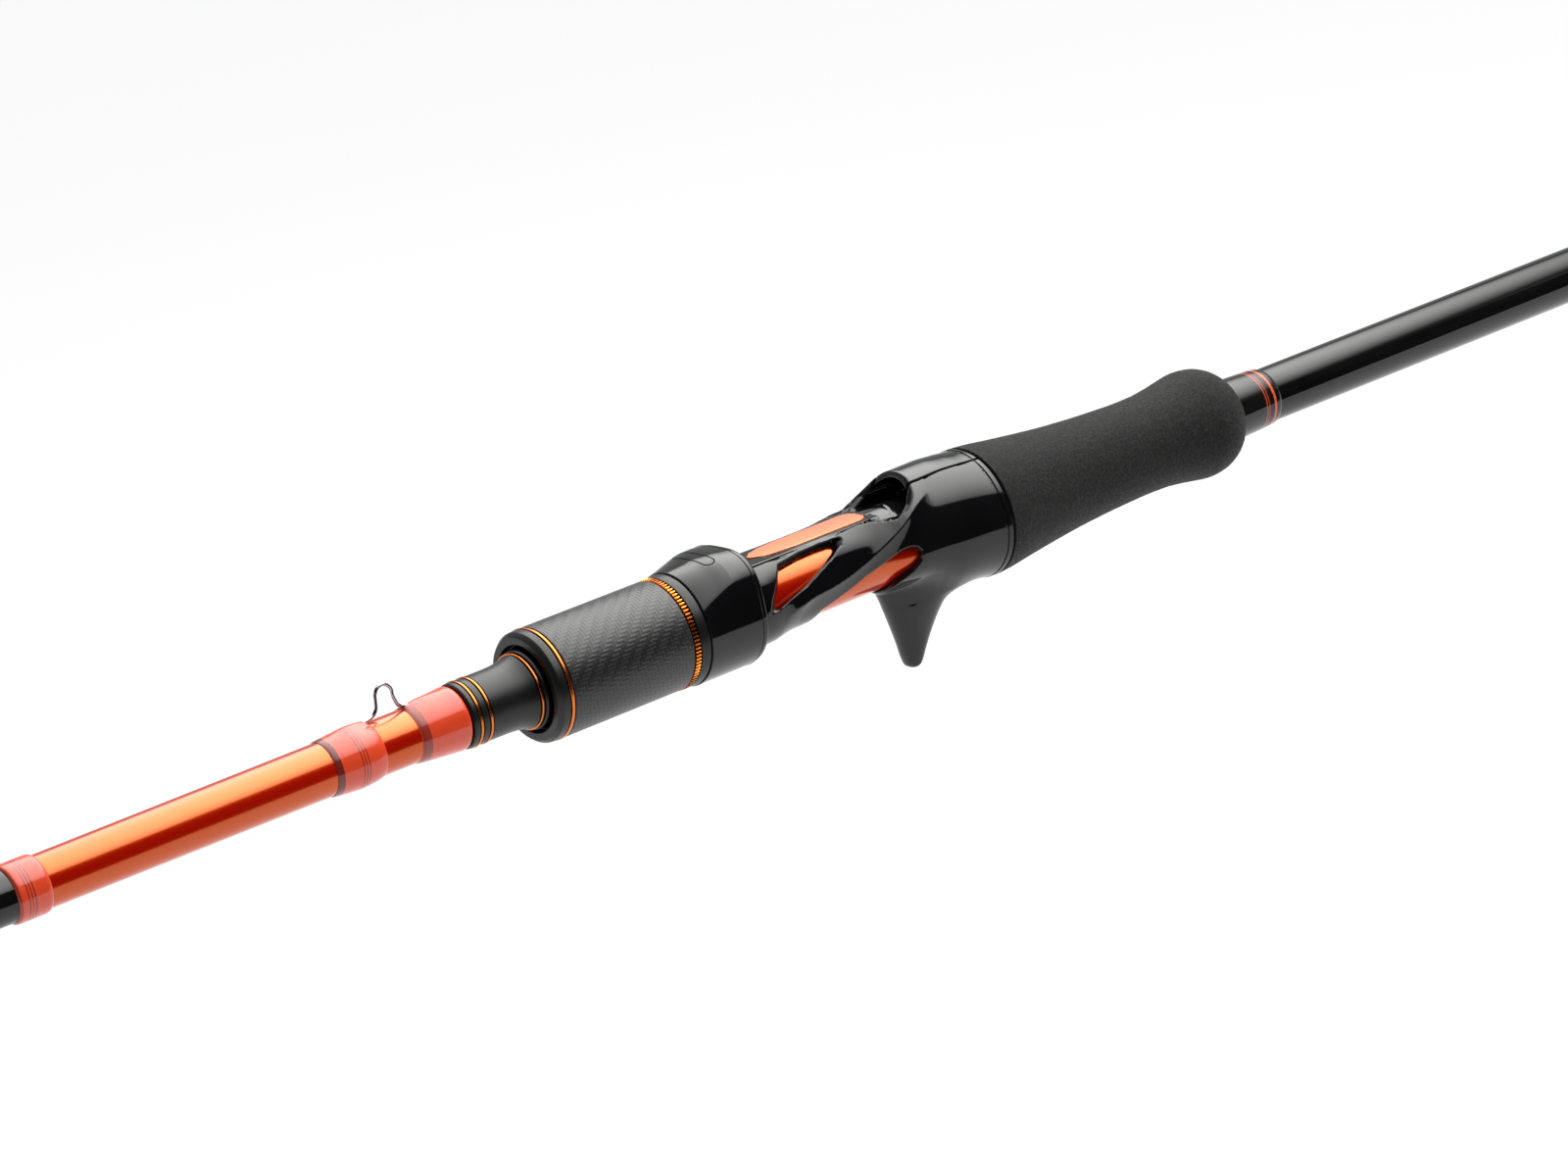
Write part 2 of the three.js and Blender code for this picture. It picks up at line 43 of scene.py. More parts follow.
# ------------------------------------------------------------------ camera and studio
AXIS_X = 0.375                      # point of the rod's axis in the middle of the view
TURN, LEAN = math.radians(34.0), math.radians(20.0)
DIST = 1.065
ROLL = math.radians(21.68)
st, ct, sb, cb = math.sin(TURN), math.cos(TURN), math.sin(LEAN), math.cos(LEAN)
fwd = Vector((-st, -cb * ct, -sb * ct))
along = Vector((-ct, cb * st, sb * st))
down = Vector((0, sb, -cb))
target = Vector((AXIS_X, 0, 0)) + down * 0.00028 - along * 0.00015
right = math.cos(ROLL) * along + math.sin(ROLL) * down
up = math.sin(ROLL) * along - math.cos(ROLL) * down
cam_data = bpy.data.cameras.new("camera")
cam_data.lens = 112.5
cam_data.sensor_width = 36
cam_data.clip_start, cam_data.clip_end = 0.01, 60
cam = bpy.data.objects.new("camera", cam_data)
bpy.context.scene.collection.objects.link(cam)
pos = target - fwd * DIST
cam.matrix_world = Matrix((
    (right.x, up.x, -fwd.x, pos.x),
    (right.y, up.y, -fwd.y, pos.y),
    (right.z, up.z, -fwd.z, pos.z),
    (0, 0, 0, 1)))
bpy.context.scene.camera = cam


def link(o):
    bpy.context.scene.collection.objects.link(o)
    return o


# ------------------------------------------------------------------ node helpers
class Mat:
    """A node material with a Principled shader and a few short-hands."""

    def __init__(self, name):
        self.m = bpy.data.materials.new(name)
        self.m.use_nodes = True
        self.nt = self.m.node_tree
        self.nt.nodes.clear()
        self.out = self.nt.nodes.new("ShaderNodeOutputMaterial")
        self.p = self.nt.nodes.new("ShaderNodeBsdfPrincipled")
        self.nt.links.new(self.p.outputs[0], self.out.inputs[0])
        self._co = None

    def n(self, kind, **kw):
        node = self.nt.nodes.new(kind)
        for k, v in kw.items():
            setattr(node, k, v)
        return node

    def l(self, a, b):
        self.nt.links.new(a, b)

    def co(self):
        if self._co is None:
            self._co = self.n("ShaderNodeTexCoord").outputs["Object"]
        return self._co

    def xyz(self):
        s = self.n("ShaderNodeSeparateXYZ")
        self.l(self.co(), s.inputs[0])
        return s.outputs

    def math(self, op, a, b=None, c=None):
        node = self.n("ShaderNodeMath", operation=op)
        for i, v in enumerate((a, b, c)):
            if v is None:
                continue
            if isinstance(v, (int, float)):
                node.inputs[i].default_value = v
            else:
                self.l(v, node.inputs[i])
        return node.outputs[0]

    def noise(self, scale, detail=2.0, rough=0.5, dist=0.0, vec=None):
        node = self.n("ShaderNodeTexNoise")
        node.inputs["Scale"].default_value = scale
        node.inputs["Detail"].default_value = detail
        node.inputs["Roughness"].default_value = rough
        node.inputs["Distortion"].default_value = dist
        self.l(vec or self.co(), node.inputs["Vector"])
        return node.outputs["Fac"]

    def scaled(self, sx, sy, sz):
        node = self.n("ShaderNodeMapping")
        node.inputs["Scale"].default_value = (sx, sy, sz)
        self.l(self.co(), node.inputs["Vector"])
        return node.outputs[0]

    def voronoi(self, scale, feature="F1", out="Distance", vec=None):
        node = self.n("ShaderNodeTexVoronoi", feature=feature)
        node.inputs["Scale"].default_value = scale
        self.l(vec or self.co(), node.inputs["Vector"])
        return node.outputs[out]

    def ramp(self, fac, stops, interp="LINEAR"):
        node = self.n("ShaderNodeValToRGB")
        cr = node.color_ramp
        cr.interpolation = interp
        while len(cr.elements) > 1:
            cr.elements.remove(cr.elements[-1])
        cr.elements[0].position = stops[0][0]
        cr.elements[0].color = (*stops[0][1], 1)
        for pos_, col in stops[1:]:
            e = cr.elements.new(pos_)
            e.color = (*col, 1)
        self.l(fac, node.inputs[0])
        return node.outputs[0]

    def range(self, v, a0, a1, b0, b1, smooth=False):
        node = self.n("ShaderNodeMapRange")
        node.interpolation_type = "SMOOTHSTEP" if smooth else "LINEAR"
        for i, q in enumerate((a0, a1, b0, b1)):
            node.inputs[i + 1].default_value = q
        self.l(v, node.inputs[0])
        return node.outputs[0]

    def mix(self, fac, a, b):
        node = self.n("ShaderNodeMix", data_type="RGBA")
        for sock, v in ((node.inputs[0], fac), (node.inputs[6], a), (node.inputs[7], b)):
            if isinstance(v, (int, float)):
                sock.default_value = v
            elif isinstance(v, tuple):
                sock.default_value = (*v, 1)
            else:
                self.l(v, sock)
        return node.outputs[2]

    def bump(self, height, strength, distance, to="Normal", chain=None):
        node = self.n("ShaderNodeBump")
        node.inputs["Strength"].default_value = strength
        node.inputs["Distance"].default_value = distance
        self.l(height, node.inputs["Height"])
        if chain is not None:
            self.l(chain, node.inputs["Normal"])
        if to:
            self.l(node.outputs[0], self.p.inputs[to])
        return node.outputs[0]

    def set(self, **kw):
        for k, v in kw.items():
            s = self.p.inputs[k.replace("_", " ")]
            if isinstance(v, (int, float)):
                s.default_value = v
            elif isinstance(v, tuple):
                s.default_value = (*v, 1) if len(v) == 3 and s.type == "RGBA" else v
            else:
                self.l(v, s)
        return self

    def angle(self):
        o = self.xyz()
        return self.math("ARCTAN2", o[2], o[1])


def make_blank():
    """Clear-coated black blank."""
    m = Mat("blank_paint")
    grain = m.noise(600, 3, 0.6, vec=m.scaled(0.08, 1, 1))
    m.set(Base_Color=m.mix(m.range(grain, 0.3, 0.7, 0, 1), (0.0030, 0.0030, 0.0034), (0.0060, 0.0060, 0.0066)))
    m.set(Metallic=0.0, Roughness=m.range(grain, 0.3, 0.7, 0.5, 0.6), Specular_IOR_Level=0.0)
    m.set(Coat_Weight=1.0, Coat_Roughness=0.02, Coat_IOR=1.5)
    m.bump(m.noise(260, 2, vec=m.scaled(0.35, 1, 1)), 0.08, 0.00004, to="Coat Normal")
    return m.m


def make_orange(name="orange_metallic", rough=(0.19, 0.24), red=(0.56, 0.0042, 0.0007), red2=(0.50, 0.0034, 0.0005), tint=(1.0, 0.23, 0.004), coat=1.0):
    """Candy orange: orange flake shining through a deep red clear layer under gloss."""
    m = Mat(name)
    flake = m.voronoi(5200, out="Color")
    sep = m.n("ShaderNodeSeparateColor")
    m.l(flake, sep.inputs[0])
    base = m.mix(sep.outputs[0], red2, red)
    base = m.mix(m.range(m.noise(120, 3), 0.35, 0.65, 0.0, 0.3), base, red2)
    m.set(Base_Color=base, Metallic=0.0, IOR=3.2, Specular_Tint=tint)
    m.set(Roughness=m.range(sep.outputs[1], 0, 1, rough[0], rough[1]))
    m.set(Coat_Weight=coat, Coat_Roughness=0.02, Coat_IOR=1.43)
    m.bump(sep.outputs[2], 0.035, 0.00005)
    m.bump(m.noise(300, 2), 0.08, 0.00004, to="Coat Normal")
    return m.m


def thread_material(name, base_a, base_b, bands=(), pitch=0.00021, spec=0.3, bump=0.55):
    """Wound thread under clear epoxy: helical ridges below a smooth coat, bands of another thread at given x. The
    grooves between turns carry painted shade (darker base_a), the crowns a lighter base_b.
    """
    m = Mat(name)
    x = m.xyz()[0]
    ang = m.angle()
    turns = m.math("ADD", m.math("DIVIDE", x, pitch), m.math("DIVIDE", ang, TAU))
    fr = m.math("FRACT", turns)
    ridge = m.math("SINE", m.math("MULTIPLY", fr, math.pi))
    fibre = m.noise(4200, 2, 0.6)
    cloud = m.noise(260, 3)
    # painted shade: darker base_a in the grooves between turns, lighter base_b on each thread's crown
    col = m.mix(m.range(ridge, 0.1, 0.9, 0.0, 1.0), base_a, base_b)
    col = m.mix(m.range(fibre, 0.35, 0.65, 0.0, 0.22), col, base_b)
    col = m.mix(m.range(cloud, 0.4, 0.7, 0.0, 0.18), col, base_a)
    for lo, hi, c, amount in bands:
        inside = m.math("MULTIPLY", m.math("GREATER_THAN", x, lo * MM), m.math("LESS_THAN", x, hi * MM))
        col = m.mix(m.math("MULTIPLY", inside, amount), col, c)
    m.set(Base_Color=col, Metallic=0.0, Roughness=m.range(fibre, 0.3, 0.7, 0.42, 0.6), Specular_IOR_Level=spec)
    m.set(Coat_Weight=1.0, Coat_Roughness=0.03, Coat_IOR=1.52)
    h = m.math("ADD", ridge, m.math("MULTIPLY", fibre, 0.35))
    m.bump(h, bump, 0.00006)
    m.bump(m.noise(170, 2, vec=m.scaled(0.6, 1, 1)), 0.22, 0.00012, to="Coat Normal")
    return m.m


def make_satin(name="satin_black", v=0.0040, rough=(0.30, 0.40), coat=0.0):
    m = Mat(name)
    g = m.noise(2600, 3, 0.6)
    w = m.noise(70, 3)
    m.set(Base_Color=m.mix(m.range(g, 0.3, 0.7, 0, 1), (v * 0.8, v * 0.8, v * 0.83), (v * 1.35, v * 1.35, v * 1.4)))
    m.set(Roughness=m.range(w, 0.3, 0.7, rough[0], rough[1]), Metallic=0.0, Specular_IOR_Level=0.44)
    m.set(Coat_Weight=coat, Coat_Roughness=0.08)
    m.bump(g, 0.12, 0.00004)
    return m.m


def make_moulded():
    """Gloss black moulding: near-black with a faint flow pattern and very slight waviness in the shine."""
    m = Mat("moulded_black")
    w = m.noise(55, 3)
    g = m.noise(1800, 2)
    m.set(Base_Color=m.mix(m.range(w, 0.3, 0.7, 0, 1), (0.0028, 0.0028, 0.0034), (0.0056, 0.0056, 0.0064)))
    m.set(Roughness=m.range(g, 0.3, 0.7, 0.055, 0.095), Metallic=0.0, Specular_IOR_Level=0.5)
    m.bump(w, 0.05, 0.0001)
    return m.m


def make_copper():
    m = Mat("copper_trim")
    ang = m.noise(1500, 2, vec=m.scaled(8, 0.6, 0.6))
    m.set(Base_Color=m.mix(m.range(ang, 0.3, 0.7, 0, 1), (0.66, 0.155, 0.03), (0.80, 0.24, 0.06)), Metallic=1.0)
    m.set(Roughness=m.range(ang, 0.3, 0.7, 0.16, 0.28))
    m.bump(ang, 0.12, 0.00003)
    return m.m


def make_anodised():
    m = Mat("orange_anodised")
    ang = m.noise(1700, 3, vec=m.scaled(6, 0.8, 0.8))
    w = m.noise(300, 2)
    rr = m.n("ShaderNodeVectorMath", operation="LENGTH")
    m.l(m.scaled(0, 1, 1), rr.inputs[0])
    # painted shade: below 12.08 mm radius (knurl groove bottoms and the bores) the colour runs to near-black
    depth = m.range(rr.outputs["Value"], 0.01208, 0.01250, 1.0, 0.0)
    col = m.mix(m.range(w, 0.3, 0.7, 0, 1), (0.80, 0.20, 0.025), (0.93, 0.34, 0.055))
    m.set(Base_Color=m.mix(depth, col, (0.05, 0.006, 0.001)), Metallic=1.0)
    m.set(Roughness=m.range(ang, 0.3, 0.7, 0.20, 0.32))
    m.bump(ang, 0.15, 0.00003)
    return m.m


def make_carbon():
    """Matt carbon cloth: 2 by 2 twill round the sleeve, tows rounded, resin filled."""
    m = Mat("carbon_weave")
    x = m.xyz()[0]
    U = m.math("MULTIPLY", m.angle(), 92 / TAU)
    V = m.math("DIVIDE", x, 0.00085)
    fu, fv = m.math("FRACT", U), m.math("FRACT", V)
    iu, iv = m.math("FLOOR", U), m.math("FLOOR", V)
    k = m.math("FLOORED_MODULO", m.math("ADD", iu, iv), 4.0)
    warp = m.math("LESS_THAN", k, 1.5)

    def hump(f):
        d = m.math("SUBTRACT", m.math("MULTIPLY", f, 2.0), 1.0)
        return m.math("SUBTRACT", 1.0, m.math("POWER", m.math("ABSOLUTE", d), 2.5))
    hw, hf = hump(fu), hump(fv)
    h = m.math("ADD", m.math("MULTIPLY", warp, hw), m.math("MULTIPLY", m.math("SUBTRACT", 1.0, warp), hf))
    fibre_w = m.noise(2600, 2, 0.6, vec=m.scaled(0.12, 1, 1))
    fibre_f = m.noise(2600, 2, 0.6, vec=m.scaled(1.6, 0.25, 0.25))
    fib = m.mix(warp, fibre_f, fibre_w)
    # painted sheen: the warp tows are coloured lighter than the fill tows, standing in for the fibres' directional
    # shine
    warp_sheen_colour = m.mix(m.range(fib, 0.3, 0.7, 0, 1), (0.010, 0.010, 0.0105), (0.018, 0.018, 0.0185))
    cf = m.mix(m.range(fib, 0.3, 0.7, 0, 1), (0.0065, 0.0065, 0.007), (0.012, 0.012, 0.0125))
    m.set(Base_Color=m.mix(warp, cf, warp_sheen_colour), Metallic=0.0, Specular_IOR_Level=0.62)
    m.set(Roughness=m.range(h, 0.0, 1.0, 0.44, 0.37))
    hh = m.math("ADD", h, m.math("MULTIPLY", m.noise(420, 3, 0.6), 1.2))
    m.bump(hh, 0.42, 0.00009)
    return m.m


def make_eva():
    """Closed-cell foam, ground smooth: fine speckle of open cells, soft sheen."""
    m = Mat("eva_foam")
    fine = m.noise(1700, 3, 0.85)
    cells = m.voronoi(4200)
    cloud = m.noise(160, 4, 0.6)
    col = m.mix(m.range(fine, 0.44, 0.64, 0.0, 1.0), (0.0005, 0.0005, 0.0005), (0.019, 0.0186, 0.018))
    col = m.mix(m.range(cloud, 0.35, 0.7, 0.0, 0.25), col, (0.0040, 0.0039, 0.0038))
    m.set(Base_Color=col, Metallic=0.0, Roughness=m.range(fine, 0.3, 0.7, 0.72, 0.46), Specular_IOR_Level=0.26)
    m.set(Sheen_Weight=0.045, Sheen_Roughness=0.3, Sheen_Tint=(0.9, 0.88, 0.85))
    h = m.math("ADD", fine, m.math("MULTIPLY", cells, -0.6))
    m.bump(h, 0.9, 0.0003)
    return m.m


def make_metal(name, a, b, r0, r1, scale=900, stretch=(4, 1, 1)):
    m = Mat(name)
    g = m.noise(scale, 3, 0.6, vec=m.scaled(*stretch))
    m.set(Base_Color=m.mix(m.range(g, 0.3, 0.7, 0, 1), a, b), Metallic=1.0)
    m.set(Roughness=m.range(g, 0.3, 0.7, r0, r1))
    m.bump(g, 0.08, 0.00003)
    return m.m


def make_plain(name, a, b, r0, r1, bump=0.2, scale=900, spec=0.5, coat=0.0):
    m = Mat(name)
    g = m.noise(scale, 4, 0.6)
    w = m.noise(60, 3)
    col = m.mix(m.range(g, 0.3, 0.7, 0, 1), a, b)
    m.set(Base_Color=m.mix(m.range(w, 0.4, 0.7, 0, 0.3), col, a), Metallic=0.0, Specular_IOR_Level=spec)
    m.set(Roughness=m.range(g, 0.3, 0.7, r0, r1), Coat_Weight=coat, Coat_Roughness=0.05)
    m.bump(g, bump, 0.00008)
    return m.m


CORAL_A, CORAL_B = (0.78, 0.042, 0.006), (0.95, 0.076, 0.014)
DARK_EPOXY = (0.060, 0.002, 0.001)
MATS = {
    "blank_paint": make_blank(),
    "orange_metallic": make_orange(),
    "thread_wrap": thread_material("thread_wrap", CORAL_A, CORAL_B, bands=[
        (569.98, 570.22, DARK_EPOXY, 0.85), (569.28, 569.52, DARK_EPOXY, 0.85), (568.58, 568.82, DARK_EPOXY, 0.85),
        (571.7, 573.0, DARK_EPOXY, 0.55), (564.0, 564.75, DARK_EPOXY, 0.5),
        (495.5, 497.2, (0.16, 0.004, 0.0015), 0.95), (490.82, 491.04, DARK_EPOXY, 0.85), (490.12, 490.34, DARK_EPOXY, 0.85),
        (489.42, 489.64, DARK_EPOXY, 0.85), (475.25, 475.7, DARK_EPOXY, 0.75), (473.7, 473.95, DARK_EPOXY, 0.65), (473.95, 475.25, (0.20, 0.008, 0.004), 0.75)]),
    "blank_orange": make_orange("blank_orange"),
    "inlay_paint": make_orange("inlay_paint", (0.34, 0.42), (0.95, 0.20, 0.085), (0.88, 0.16, 0.065), (1.0, 0.55, 0.28)),
    "black_thread": thread_material("black_thread", (0.003, 0.003, 0.0034), (0.008, 0.008, 0.0086), bands=[], spec=0.05),
    "satin_black": make_satin(),
    "copper_trim": make_copper(),
    "carbon_weave": make_carbon(),
    "orange_anodised": make_anodised(),
    "moulded_black": make_moulded(),
    "eva_foam": make_eva(),
    "chrome_wire": make_metal("chrome_wire", (0.50, 0.50, 0.52), (0.64, 0.64, 0.66), 0.05, 0.10),
    "guide_steel": make_metal("guide_steel", (0.17, 0.175, 0.19), (0.27, 0.275, 0.29), 0.12, 0.24),
    "ceramic": make_plain("ceramic", (0.012, 0.013, 0.015), (0.026, 0.028, 0.031), 0.06, 0.14, 0.05, 1500, 0.8),
    "graphite": make_plain("graphite", (0.020, 0.020, 0.021), (0.045, 0.045, 0.047), 0.45, 0.65),
    "rubber": make_plain("rubber", (0.010, 0.010, 0.010), (0.020, 0.020, 0.020), 0.62, 0.85, 0.35, 2200, 0.4),
    "hood_gloss": make_moulded(),
}
MATS["hood_gloss"].name = "hood_gloss"


# ------------------------------------------------------------------ mesh helpers (work in mm, store metres)
def mesh_object(name, verts, faces, sharp=35.0, smooth=True):
    me = bpy.data.meshes.new(name)
    v = np.asarray(verts, dtype=np.float64) * MM
    me.from_pydata(v.tolist(), [], faces if isinstance(faces, list) else faces.tolist())
    me.validate()
    me.polygons.foreach_set("use_smooth", [smooth] * len(me.polygons))
    if sharp is not None and smooth:
        me.set_sharp_from_angle(angle=math.radians(sharp))
    me.update()
    return link(bpy.data.objects.new(name, me))


def finish_piece(o, body, material, replaces=()):
    o.data.materials.clear()
    o.data.materials.append(MATS[material])
    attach(o, body)
    if replaces:
        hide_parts(*replaces)
    return o


def rounded(points, radius, steps=4, closed=True):
    """Corners of a profile replaced by short arcs."""
    P = [np.array(p, float) for p in points]
    out = []
    n = len(P)
    for i in range(n):
        r = radius[i] if isinstance(radius, (list, tuple)) else radius
        if (not closed and i in (0, n - 1)) or r <= 0:
            out.append(tuple(P[i]))
            continue
        a, b, c = P[i - 1], P[i], P[(i + 1) % n]
        u, v = a - b, c - b
        lu, lv = np.linalg.norm(u), np.linalg.norm(v)
        if lu < 1e-9 or lv < 1e-9:
            out.append(tuple(b))
            continue
        u, v = u / lu, v / lv
        ang = math.acos(max(-1, min(1, float(u @ v))))
        if ang > math.radians(176):
            out.append(tuple(b))
            continue
        t = min(r / math.tan(ang / 2), lu * 0.45, lv * 0.45)
        p0, p1 = b + u * t, b + v * t
        for k in range(steps + 1):
            s = k / steps
            out.append(tuple((1 - s) ** 2 * p0 + 2 * s * (1 - s) * b + s ** 2 * p1))
    return out


def smooth_curve(rows, step):
    """Monotone cubic through rows (x, r), sampled every step in x; rows run either way."""
    rows = sorted(rows)
    X = np.array([r[0] for r in rows], float)
    Y = np.array([r[1] for r in rows], float)
    n = max(2, int(math.ceil((X[-1] - X[0]) / step)) + 1)
    xs = np.linspace(X[0], X[-1], n)
    return list(zip(xs.tolist(), pchip(X, Y, xs).tolist()))


def pchip(X, Y, q):
    X, Y = np.asarray(X, float), np.asarray(Y, float)
    h = np.diff(X)
    d = np.diff(Y) / h
    m = np.zeros_like(Y)
    m[0], m[-1] = d[0], d[-1]
    for i in range(1, len(Y) - 1):
        if d[i - 1] * d[i] > 0:
            w1, w2 = 2 * h[i] + h[i - 1], h[i] + 2 * h[i - 1]
            m[i] = (w1 + w2) / (w1 / d[i - 1] + w2 / d[i])
    q = np.asarray(q, float)
    i = np.clip(np.searchsorted(X, q) - 1, 0, len(h) - 1)
    t = np.clip((q - X[i]) / h[i], 0, 1)
    return ((1 + 2 * t) * (1 - t) ** 2 * Y[i] + t * (1 - t) ** 2 * h[i] * m[i]
            + t * t * (3 - 2 * t) * Y[i + 1] + t * t * (t - 1) * h[i] * m[i + 1])


def turned(name, profile, seg=128, sharp=35.0, radial=None):
    """A closed profile [(x, r)...] turned about X. radial(x, theta, r) -> r may vary it."""
    prof = [(float(x), max(float(r), 0.0)) for x, r in profile]
    area = sum(prof[i - 1][0] * prof[i][1] - prof[i][0] * prof[i - 1][1] for i in range(len(prof)))
    if area < 0:
        prof = prof[::-1]
    verts, rows = [], []
    th = np.arange(seg) * TAU / seg
    for x, r in prof:
        if r < 1e-6:
            rows.append([len(verts)])
            verts.append((x, 0.0, 0.0))
            continue
        rr = np.full(seg, r) if radial is None else radial(x, th, np.full(seg, r))
        rows.append(list(range(len(verts), len(verts) + seg)))
        verts.extend(zip([x] * seg, (rr * np.cos(th)).tolist(), (rr * np.sin(th)).tolist()))
    faces = []
    n = len(rows)
    for i in range(n):
        a, b = rows[i], rows[(i + 1) % n]
        if len(a) == 1 and len(b) == 1:
            continue
        for k in range(seg):
            k2 = (k + 1) % seg
            if len(a) == 1:
                faces.append((a[0], b[k2], b[k]))
            elif len(b) == 1:
                faces.append((a[k], a[k2], b[0]))
            else:
                faces.append((a[k], a[k2], b[k2], b[k]))
    return mesh_object(name, verts, faces, sharp)


def sleeve(name, outer, inner, seg=128, rad=0.12, sharp=35.0, radial=None):
    return turned(name, rounded([*outer, *list(inner)[::-1]], rad), seg, sharp, radial)


BLANK_X = [5, 224, 330, 470, 573, 800, 1076, 1400, 1700, 2000, 2124]
BLANK_R = [6.5, 6.42, 6.2, 5.9, 5.62, 4.98, 4.2, 3.15, 2.2, 1.3, 0.95]


def blank_r(x):
    return float(np.interp(x, BLANK_X, BLANK_R))


# ------------------------------------------------------------------ implicit surfaces for the moulded shapes
def smin(a, b, k):
    h = np.clip(0.5 + 0.5 * (b - a) / k, 0, 1)
    return b * (1 - h) + a * h - k * h * (1 - h)


def smax(a, b, k):
    return -smin(-a, -b, k)


def poly_sdf(px, py, pts):
    pts = np.asarray(pts, float)
    d = np.full(px.shape, 1e18)
    s = np.ones(px.shape)
    n = len(pts)
    for i in range(n):
        a, b = pts[i], pts[i - 1]
        ex, ey = b - a
        wx, wy = px - a[0], py - a[1]
        t = np.clip((wx * ex + wy * ey) / max(ex * ex + ey * ey, 1e-12), 0, 1)
        bx, by = wx - ex * t, wy - ey * t
        d = np.minimum(d, bx * bx + by * by)
        c1, c2, c3 = py >= a[1], py < b[1], ex * wy > ey * wx
        flip = (c1 & c2 & c3) | (~c1 & ~c2 & ~c3)
        s = np.where(flip, -s, s)
    return s * np.sqrt(d)


def capsule(x, y, z, a, b, ra, rb=None):
    rb = ra if rb is None else rb
    a, b = np.array(a, float), np.array(b, float)
    d = b - a
    t = np.clip(((x - a[0]) * d[0] + (y - a[1]) * d[1] + (z - a[2]) * d[2]) / (d @ d), 0, 1)
    return np.sqrt((x - a[0] - d[0] * t) ** 2 + (y - a[1] - d[1] * t) ** 2 + (z - a[2] - d[2] * t) ** 2) - (ra + (rb - ra) * t)


def rbox(x, y, z, c, half, r):
    qx, qy, qz = np.abs(x - c[0]) - half[0] + r, np.abs(y - c[1]) - half[1] + r, np.abs(z - c[2]) - half[2] + r
    return np.sqrt(np.maximum(qx, 0) ** 2 + np.maximum(qy, 0) ** 2 + np.maximum(qz, 0) ** 2) + np.minimum(np.maximum(qx, np.maximum(qy, qz)), 0) - r


def surface(field, lo, hi, h):
    """Closed quad surface of field = 0 in a box, its points moved onto the exact surface."""
    ax = [np.arange(lo[i], hi[i] + h, h) for i in range(3)]
    nx, ny, nz = (len(a) for a in ax)
    V = np.empty((nx, ny, nz), np.float32)
    Y, Z = np.meshgrid(ax[1], ax[2], indexing="ij")
    for i0 in range(0, nx, 16):
        xs = ax[0][i0:i0 + 16]
        X3 = np.broadcast_to(xs[:, None, None], (len(xs), ny, nz))
        V[i0:i0 + 16] = field(X3, np.broadcast_to(Y, X3.shape), np.broadcast_to(Z, X3.shape))
    V[0], V[-1], V[:, 0], V[:, -1], V[:, :, 0], V[:, :, -1] = 1, 1, 1, 1, 1, 1
    S = V < 0
    c = np.zeros((nx - 1, ny - 1, nz - 1), np.int8)
    for dx in (0, 1):
        for dy in (0, 1):
            for dz in (0, 1):
                c += S[dx:nx - 1 + dx, dy:ny - 1 + dy, dz:nz - 1 + dz]
    act = (c > 0) & (c < 8)
    idx = -np.ones(c.shape, np.int64)
    I = np.argwhere(act)
    idx[act] = np.arange(len(I))
    P = np.zeros((len(I), 3))
    cnt = np.zeros(len(I))
    corners = [(0, 0, 0), (1, 0, 0), (0, 1, 0), (0, 0, 1), (1, 1, 0), (1, 0, 1), (0, 1, 1), (1, 1, 1)]
    edges = [(a, b) for a in corners for b in corners if a < b and sum(abs(p - q) for p, q in zip(a, b)) == 1]
    for a, b in edges:
        va = V[I[:, 0] + a[0], I[:, 1] + a[1], I[:, 2] + a[2]].astype(float)
        vb = V[I[:, 0] + b[0], I[:, 1] + b[1], I[:, 2] + b[2]].astype(float)
        cr = (va < 0) != (vb < 0)
        t = np.where(cr, va / np.where(cr, va - vb, 1), 0)
        for k in range(3):
            P[:, k] += np.where(cr, a[k] + (b[k] - a[k]) * t, 0)
        cnt += cr
    P = P / cnt[:, None] + I
    P = P * h + np.array([ax[0][0], ax[1][0], ax[2][0]])
    faces = []
    for axis in range(3):
        A = [slice(None)] * 3
        B = [slice(None)] * 3
        A[axis], B[axis] = slice(0, -1), slice(1, None)
        sa, sb_ = S[tuple(A)], S[tuple(B)]
        u, v = [(1, 2), (2, 0), (0, 1)][axis]
        E = np.argwhere(sa != sb_)
        inner = (E[:, u] > 0) & (E[:, v] > 0)
        lim = [nx - 1, ny - 1, nz - 1]
        inner &= (E[:, u] < lim[u]) & (E[:, v] < lim[v]) & (E[:, axis] < lim[axis])
        E = E[inner]

        def cell(du, dv):
            q = E.copy()
            q[:, u] -= du
            q[:, v] -= dv
            return idx[q[:, 0], q[:, 1], q[:, 2]]
        F = np.stack([cell(1, 1), cell(0, 1), cell(0, 0), cell(1, 0)], 1)
        inside_first = sa[E[:, 0], E[:, 1], E[:, 2]]
        F[~inside_first] = F[~inside_first][:, ::-1]
        faces.append(F[(F >= 0).all(1)])
    F = np.concatenate(faces)
    e = h * 0.08

    def grad(p):
        g = np.empty_like(p)
        for k in range(3):
            d = np.zeros(3)
            d[k] = e
            g[:, k] = (field(*(p + d).T) - field(*(p - d).T)) / (2 * e)
        return g
    for _ in range(3):
        g = grad(P)
        f = field(*P.T)
        step = (f / np.maximum((g ** 2).sum(1), 0.05))[:, None] * g
        ln = np.linalg.norm(step, axis=1, keepdims=True)
        step *= np.minimum(1, 0.35 * h / np.maximum(ln, 1e-9))
        P -= step
    return P, F, grad


